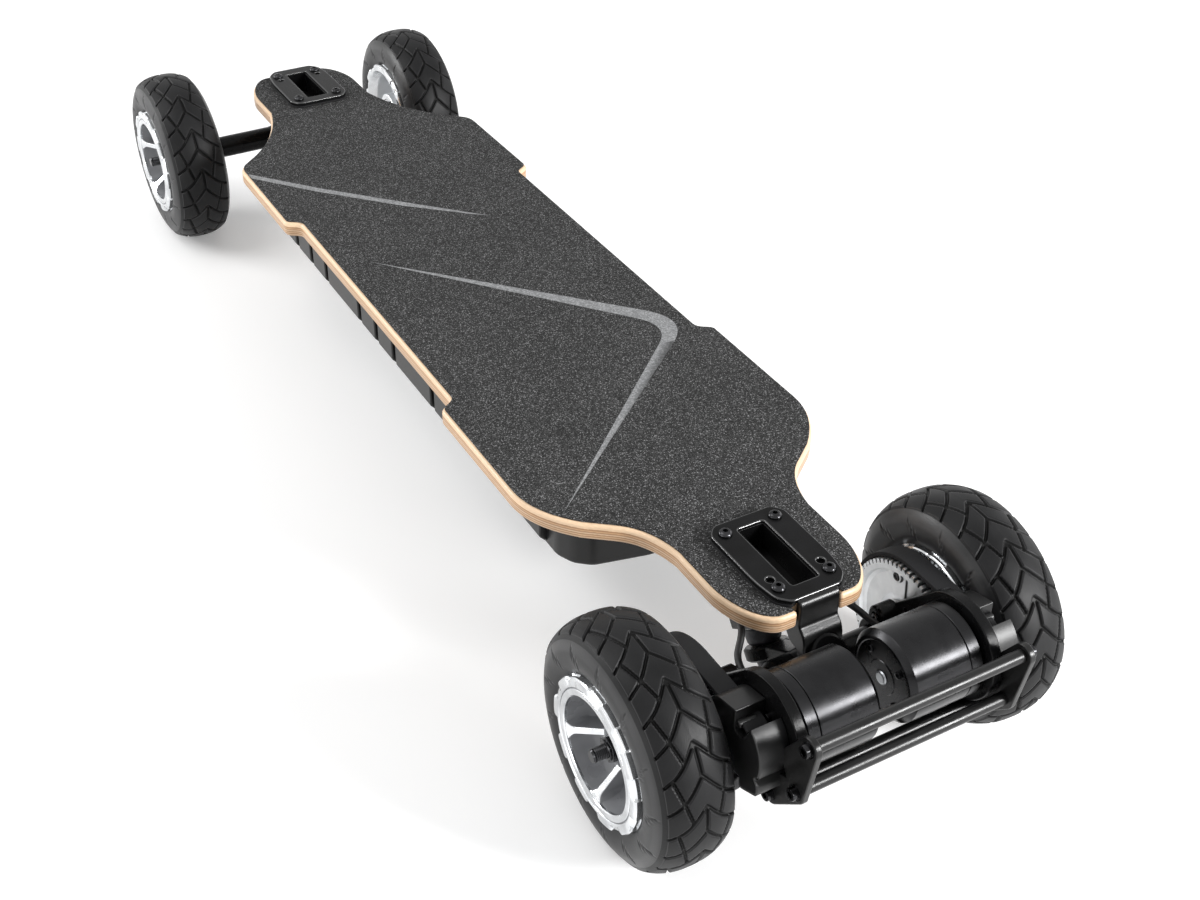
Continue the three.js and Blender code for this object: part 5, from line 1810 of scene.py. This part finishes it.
    def build(self) -> None:
        """Makes both trucks."""
        for end in End:
            name = end.name.lower()
            body = f"{name}_truck"
            put = partial(self.layout.truck, end=end)
            base = put(self.base_skin())
            show(f"base_{name}_skin", base, [COAT, GUARD, EDGE], "board", [f"baseplate_{name}"])
            show(f"bolts_{name}", put(self.bolts_skin()), [BLACK_OXIDE], "board")
            show(f"pad_{name}_skin", put(self.pad_skin()), [SEAL], "board", [f"riser_pad_{name}"])
            kingpin = put(self.on_kingpin(self.kingpin_skin()))
            show(f"kingpin_{name}_skin", kingpin, [ZINC], "board", [f"kingpin_{name}"])
            cup = turned([(4, 6.4), (4, 9.2), (12, 9.2), (12.6, 8.8), (12.6, 6.8), (12, 6.4)], 48)
            show(f"cup_{name}_skin", put(self.on_pivot(cup)), [URETHANE], "board", [f"pivot_cup_{name}"])
            show(f"hanger_{name}_skin", put(self.hanger_skin()), [COAT], body, [f"hanger_{name}"])
            self.bushings(end)
            self.axle(end)

    def bushings(self, end: End) -> None:
        """Makes a truck's two bushings, between the board and the hanger's ring.

        Args:
            end: the end of the board.
        """
        name = end.name.lower()
        upper = [
            (5.4, 5.1), (5.4, 10.2), (6.2, 11.6), (8.6, 12.8), (12.3, 13), (16, 12.8), (18.5, 11.6), (19.3, 10.2),
            (19.3, 5.1),
        ]
        lower = [(-5.4, 5.1), (-5.4, 9.6), (-6.4, 10.4), (-10.8, 10.1), (-15, 9.2), (-16.2, 8.2), (-16.2, 5.1)]
        for label, rows, far in (("upper", upper, 19.3), ("lower", lower, -16.2)):
            profile = np.array(rows, float)
            dense = evenly(np.concatenate([profile, profile[:1]]), 0.9)[:-1]
            skin = self.on_kingpin(turned(dense, 56))
            node = f"bushing_{label}_{name}"
            piece = show(f"{node}_skin", self.layout.truck(skin, end), [URETHANE], None, [node], 50)
            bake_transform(piece)

    def axle(self, end: End) -> None:
        """Makes a truck's axle: a ground bar with rolled threads near both tips.

        Args:
            end: the end of the board.
        """
        tip = np.array([(168, 0), (168, 3.9), (166.9, 5)])
        place = np.arange(166.2, 148, -0.62)
        thread = np.stack([place, 4.98 - 0.34 * (np.arange(len(place)) % 2)], -1)
        half = np.concatenate([tip, thread, [(147.5, 5), (100, 5)]])
        rows = np.concatenate([half, (half * [-1, 1])[::-1]])
        zones = np.where(np.abs(rows[:, 0]) > 147.4, 1, 0)
        skin = turned(np.column_stack([rows, zones]), 40).marked()
        name = end.name.lower()
        skin = self.layout.truck(skin, end)
        show(f"axle_{name}_skin", skin, [ZINC, BLACK_OXIDE], f"{name}_truck", [f"axle_{name}"])


# Deck and enclosure


@dataclass
class Deck:
    """The maple deck, its grit sheet and the stripes printed on it, made from the board's middle.

    Args:
        layout: where the board's middle is.
        under: the underside of the deck, above the axles.
        thick: the thickness of the deck.
        grip: the thickness of the grit sheet.
        edge: the radius of the deck's edges.
        shoulders: for each end, where its waisted outline leaves the wide part: five places, each as a share of the
            way from the neck's half width to the deck's, and how far it lies before the neck's start.
    """

    layout: Layout
    under: float = 50.4
    thick: float = 14.0
    grip: float = 1.0
    edge: float = 3.0
    shoulders: dict[End, Sequence[tuple[float, float]]] = field(
        default_factory=lambda: {
            End.FRONT: ((1, 118), (1, 108), (0.92, 102), (0.81, 95), (0.2, 59)),
            End.REAR: ((1, 116), (1, 86), (0.6, 59), (0.3, 43), (0.06, 29)),
        }
    )

    def quarter(self, end: End) -> np.ndarray:
        """The outline's quarter from the middle of the right side round to the notch in an end, as on the nose.

        Args:
            end: the end of the board.

        Returns:
            The quarter's points.
        """
        start, wide, neck = 402.0, 125.0, 56.0
        side, corner, run, run_end, hollow = (
            (neck + share * (wide - neck), start - back) for share, back in self.shoulders[end]
        )
        pieces = [
            [(113, 0), (113, 154)], bezier((113, 158), (113.3, 165.5), (124.7, 165.5), (125, 173)),
            bezier(side, corner, run),
            bezier(run_end, hollow, (neck, start)), bezier((56, 440), (56, 465), (42, 490), (28, 490)),
            [(19.5, 490), (17.9, 489.3), (17.5, 488), (17.5, 484)],
        ]
        return np.concatenate([np.asarray(piece, float) for piece in pieces])

    def outline(self, draw: float = 0) -> np.ndarray:
        """All four quarters of the outline, drawn in by a distance.

        Args:
            draw: how far inside the deck's edge it runs.

        Returns:
            The outline's points.
        """
        halves = []
        for end in (End.FRONT, End.REAR):
            quarter = self.quarter(end)
            halves.append(np.concatenate([quarter, (quarter * [-1, 1])[::-1]]) * end.value)
        loop = np.concatenate(halves)
        keep = np.linalg.norm(loop - np.roll(loop, 1, 0), axis=1) > 1e-6
        return inset(loop[keep], draw)

    def windows(self, grow: float = 0) -> list[np.ndarray]:
        """The opening under each truck's window.

        Args:
            grow: how much wider than the plate's window it is, on each side.

        Returns:
            The opening at the nose and the one at the tail.
        """
        axle = 483
        high, low = axle - 10 + grow, axle - 76 - grow
        loop = rounded([(11 + grow, high), (11 + grow, low), (-11 - grow, low), (-11 - grow, high)], 2.5, 4)
        return [loop, loop * [1, -1]]

    def stripes(self) -> list[np.ndarray]:
        """The printed stripe and chevron, as outlines seen from above.

        Returns:
            The two outlines.
        """
        upper = [(-122.4, 277.2), (-73.6, 218.3), (-14.9, 155.2), (32.3, 105.6), (46.2, 91.9)]
        lower = [(31.3, 103.4), (-18, 148.2), (-76.4, 211.1), (-122.4, 267.2)]
        chevron = rounded([(-84.5, 63.5), (112.6, -149.5), (-104.8, -328.5), (92.5, -151.2)], [0.1, 40, 0.1, 30], 12)
        return [np.array(upper + lower), chevron]

    def build(self) -> None:
        """Makes the deck, the grit sheet and the stripes."""
        low, high = self.under, self.under + self.thick
        wood = self.layout.deck(plate([self.outline(), *self.windows()], low, high, self.edge, 6))
        show("deck_skin", wood, [MAPLE], "board", ["deck"], 50)
        sheet = plate([self.outline(2), *self.windows(0.4)], high + 0.25, high + 0.3 + self.grip, 0.3, 2)
        show("grit_skin", self.layout.deck(sheet), [GRIT_AND_PAINTED_GLINTS], "board", ["grip_tape"])
        prints = joined([plate([loop], high + 1.2, high + 1.42, 0.05, 1) for loop in self.stripes()])
        show("printed_stripes", self.layout.deck(prints), [INK], "board")


@dataclass
class Enclosure:
    """The battery box under the deck: tray, ribs, gasket, glands, controls and screws, made from the board's middle.

    Args:
        layout: where the board's middle is.
        under: the underside of the deck, above the axles.
        half_width: half the width of the tray.
        half_length: half the length of the tray.
        depth: the depth of the tray.
        wall: the thickness of its wall.
    """

    layout: Layout
    under: float = 50.4
    half_width: float = 96
    half_length: float = 336
    depth: float = 45
    wall: float = 3

    def outline(self) -> np.ndarray:
        """The tray's outline, with its corners cut.

        Returns:
            The outline's points.
        """
        corner = [
            (self.half_width - across, self.half_length - back)
            for across, back in ((0, 34), (6, 20), (18, 10), (62, 0))
        ]
        half = corner + [(-x, y) for x, y in reversed(corner)]
        return rounded(half + [(-x, -y) for x, y in half], 4, 3)

    def tray(self) -> Skin:
        """A hollow tray: rows climb from its floor over the rounded edge to the rim, and go down inside.

        Returns:
            The closed skin.
        """
        top = self.under - 2
        bottom, wall = top - self.depth, self.wall
        turns = np.radians(np.linspace(90, 0, 6))
        edge = 4
        rows = [(edge * (1 - math.cos(a)), bottom + edge * (1 - math.sin(a))) for a in turns]
        rows += [(0, top - 5), (-1.2, top - 4), (-1.2, top - 0.4), (-0.8, top), (wall, top), (wall, bottom + wall)]
        return stacked([self.outline()], rows)

    def ribs(self) -> Skin:
        """The ribs on both sides, each a rounded block whose section lies across the board.

        Returns:
            The closed skin.
        """
        top = self.under - 2
        low, high = top - self.depth + 5, top - 4
        section = rounded(
            [(94.5, low), (97.5, low), (102, low + 5), (102, high), (94.5, high)], [0.1, 1, 1.6, 1.6, 0.1], 4
        )
        count, gap, margin = 11, 7, 48.5
        shares = np.array([1 if k % 3 else 2.32 for k in range(count)])  # every third rib is long
        lengths = shares * (2 * (self.half_length - margin) - gap * (count - 1)) / shares.sum()
        starts = self.half_length - margin - np.concatenate([[0], np.cumsum(lengths + gap)[:-1]])
        ends = zip(starts - lengths, starts)
        right = joined([plate([section], low, high, 1.5, 4).mapped(SECTION) for low, high in ends])
        return joined([right, right.flipped()])

    def controls(self) -> None:
        """Makes the power button in its bezel and the charging socket's stopper, on the tray's end at the nose."""
        left, right = ((x, self.half_length, self.under - 24) for x in (-17, 17))
        cap = turned(
            [
                (-8, 0), (-8, 4.8), (2.4, 4.8), (2.4, 7.4), (2.8, 8), (3.9, 8), (4.3, 7.5), (4.3, 6), (3.9, 5.6),
                (3.9, 1), (3.9, 0),
            ],
            48,
        )
        cap = self.layout.deck(cap.marked().mapped(NOSEWARD, left))
        show("button_skin", cap, [RACE], "power_button", ["power_button"])
        bezel = turned([(-1, 8.5), (-1, 10.6), (1.4, 10.6), (1.9, 10.1), (1.9, 8.5)], 48)
        show("button_bezel", self.layout.deck(bezel.mapped(NOSEWARD, left)), [BLACK_OXIDE], "board")
        plug = turned([(-8, 0), (-8, 6.6), (0.3, 6.6), (0.3, 9.4), (0.9, 10), (1.7, 9.8), (2.3, 8.8), (2.3, 0)], 48)
        rows = ((0.5, 3.0), (0.8, 3.4), (1.9, 3.4), (2.2, 3.0))
        pull = lofted([(x, circle((0, -9 - 3 * x / 2.3), radius, 12)) for x, radius in rows])
        stopper = self.layout.deck(joined([plug, pull]).mapped(NOSEWARD, right))
        show("stopper_skin", stopper, [SEAL], "board", ["charge_port_stopper"])

    def build(self) -> None:
        """Makes the tray with its ribs and glands, the gasket, the controls and the screws, and gives the packed
        battery and motor controller inside it their finishes.
        """
        gland = joined([
            turned([(-2, 0), (-2, 5), (0.6, 5), (1.2, 4.7), (3.2, 4.5), (4, 3.6), (4, 0)], 32),
            slab([hexagon(9)], 0.2, 1.6, 0.3),
        ])
        glands = [gland.mapped(TAILWARD, (x, -self.half_length, self.under - 16.6)) for x in (-28, 28)]
        tray = joined([self.tray(), self.ribs(), *glands])
        show("tray_skin", self.layout.deck(tray), [PLASTIC], "board", ["enclosure_tray"])
        ring = stacked(
            [self.outline(), inset(self.outline(), 8)],
            [(0, self.under - 1.7), (0.3, self.under - 1.5), (0.3, self.under - 0.4), (0, self.under - 0.3)],
        )
        show("gasket_skin", self.layout.deck(ring), [SEAL], "board", ["enclosure_gasket"])
        self.controls()
        screw = Drive(self.layout).screw(2.9, 1.6)
        spots = [(x, y) for x in (-86, 86) for y in np.linspace(-290, 290, 7)]
        spots += [(x, y) for x in (-40, 40) for y in (-326, 326)]
        screws = joined([screw.mapped(DOWNWARD, (x, y, self.under - 2 - self.depth)) for x, y in spots])
        show("tray_screws", self.layout.deck(screws), [BLACK_OXIDE], "board")
        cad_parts["battery_pack"].data.materials[0] = SHRINK.material()
        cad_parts["motor_controller"].data.materials[0] = TURNED.material()


# Studio


@dataclass
class Studio:
    """The plain pale floor, the soft lamps, the world and the camera.

    Args:
        layout: where the board stands; not used.
        aim: the point that the camera faces, in millimetres.
        distance: how far the camera stands from it.
        azimuth: the turn of the camera round the board, in degrees from the tail.
        elevation: how high it stands, in degrees.
        roll: how far it leans round its own line of sight, in degrees.
        lens: the focal length on a sensor 36 mm wide.
    """

    layout: Layout
    aim: tuple[float, float, float] = (59.02, -96.61 + 15.972, 0)
    distance: float = 1409.14
    azimuth: float = -30.08
    elevation: float = 36.56
    roll: float = 0.9
    lens: float = 46.66

    def camera(self) -> None:
        """Sets the camera up: it looks along the direction of its azimuth and elevation, rolled about it."""
        az, el, roll = map(math.radians, (self.azimuth, self.elevation, self.roll))
        back = Vector((math.sin(az) * math.cos(el), -math.cos(az) * math.cos(el), math.sin(el)))
        right = (-back).cross(Vector((0, 0, 1))).normalized()
        up = right.cross(-back)
        across = math.cos(roll) * right + math.sin(roll) * up
        rise = -math.sin(roll) * right + math.cos(roll) * up
        data = bpy.data.cameras.new("camera")
        data.lens, data.sensor_width, data.sensor_fit = self.lens, 36, "HORIZONTAL"
        data.clip_start, data.clip_end = 0.01, 100
        camera = bpy.data.objects.new("camera", data)
        place = Vector(self.aim) * MM + back * self.distance * MM
        camera.matrix_world = Matrix.Translation(place) @ Matrix((across, rise, back)).transposed().to_4x4()
        bpy.context.scene.collection.objects.link(camera)
        bpy.context.scene.camera = camera

    def lamp(
        self, name: str, place: Sequence[float], aim: Sequence[float], size: tuple[float, float], power: float
    ) -> None:
        """Hangs a soft rectangular lamp, in metres and watts, that faces a point.

        Args:
            name: the lamp's name.
            place: where it hangs.
            aim: the point that it faces.
            size: its width and height.
            power: its power.
        """
        data = bpy.data.lights.new(name, "AREA")
        data.shape, data.size, data.size_y, data.energy = "RECTANGLE", *size, power
        lamp = bpy.data.objects.new(name, data)
        lamp.location = place
        lamp.rotation_euler = (Vector(aim) - Vector(place)).to_track_quat("-Z", "Y").to_euler()
        lamp.visible_camera = False
        bpy.context.scene.collection.objects.link(lamp)

    def seen(self, nodes: Nodes) -> Socket:
        """Tells what the camera sees from what lights the scene.

        Args:
            nodes: the nodes to add to.

        Returns:
            A value that is 1 for camera, glossy and transmitted rays and 0 for all others.
        """
        path = nodes.add("ShaderNodeLightPath").outputs
        either = nodes.maths("MAXIMUM", path["Is Camera Ray"], path["Is Transmission Ray"])
        return nodes.maths("MAXIMUM", either, path["Is Glossy Ray"])

    def floor(self) -> None:
        """Lays the floor: white paper that the camera sees as white where no shadow falls, also far from the lamps."""
        mesh = bpy.data.meshes.new("floor")
        reach, below = 12, -0.0004
        corners = [(x * reach, y * reach, below) for x, y in ((-1, -1), (1, -1), (1, 1), (-1, 1))]
        mesh.from_pydata(corners, [], [(0, 1, 2, 3)])
        floor = bpy.data.objects.new("floor", mesh)
        bpy.context.scene.collection.objects.link(floor)
        material = bpy.data.materials.new("white_paper")
        material.use_nodes = True
        nodes = Nodes(material.node_tree)
        away = nodes.add("ShaderNodeVectorMath", {0: nodes.place()}, operation="LENGTH").outputs["Value"]
        glow = nodes.maths("MULTIPLY", self.seen(nodes), nodes.span(away, 0.2, 0.6, 1.2, 4.0))
        paper = {"Base Color": linear("#f4f4f4"), "Roughness": 0.8}
        shader = nodes.tree.nodes["Principled BSDF"]
        nodes.feed(shader, paper | {"Emission Color": (1, 1, 1, 1), "Emission Strength": glow})
        mesh.materials.append(material)

    def world(self) -> None:
        """Surrounds the scene with a pale light, and with white for the camera, glossy and transmitted rays."""
        world = bpy.data.worlds.new("studio")
        bpy.context.scene.world = world
        world.use_nodes = True
        nodes = Nodes(world.node_tree)
        strength = nodes.span(self.seen(nodes), 0.5, 1.0, 0, 1)
        nodes.feed(nodes.tree.nodes["Background"], {"Color": (1, 1, 1, 1), "Strength": strength})

    def build(self) -> None:
        """Sets up the camera, lamps, floor and world."""
        self.camera()
        self.floor()
        self.world()
        self.lamp("key", (-1.2, 0.6, 2.2), (0, 0, 0.05), (1.4, 1.4), 18)
        self.lamp("rear_box", (1.24, -2.25, 1.1), (0, -0.5, 0.12), (0.6, 0.8), 88)
        self.lamp("left_box", (-1.8, 1.75, 0.85), (0, 0, 0.1), (1.0, 0.5), 30)
        self.lamp("left_low", (-2.4, -0.7, 0.35), (0, -0.3, 0.1), (1.6, 0.4), 14)
        self.lamp("right_fill", (2.3, -0.2, 1.0), (0, 0, 0.1), (1.6, 1.0), 12)
        view = bpy.context.scene.view_settings
        view.view_transform = "Standard"


def main() -> None:
    """Builds each sub-assembly in order."""
    layout = Layout.read()
    for assembly in (Studio(layout), Wheels(layout), Trucks(layout), Drive(layout), Deck(layout), Enclosure(layout)):
        log.info("building %s", type(assembly).__name__)
        assembly.build()


if __name__ == "__main__":
    logging.basicConfig(level=logging.INFO, format="%(name)s: %(message)s")
    main()
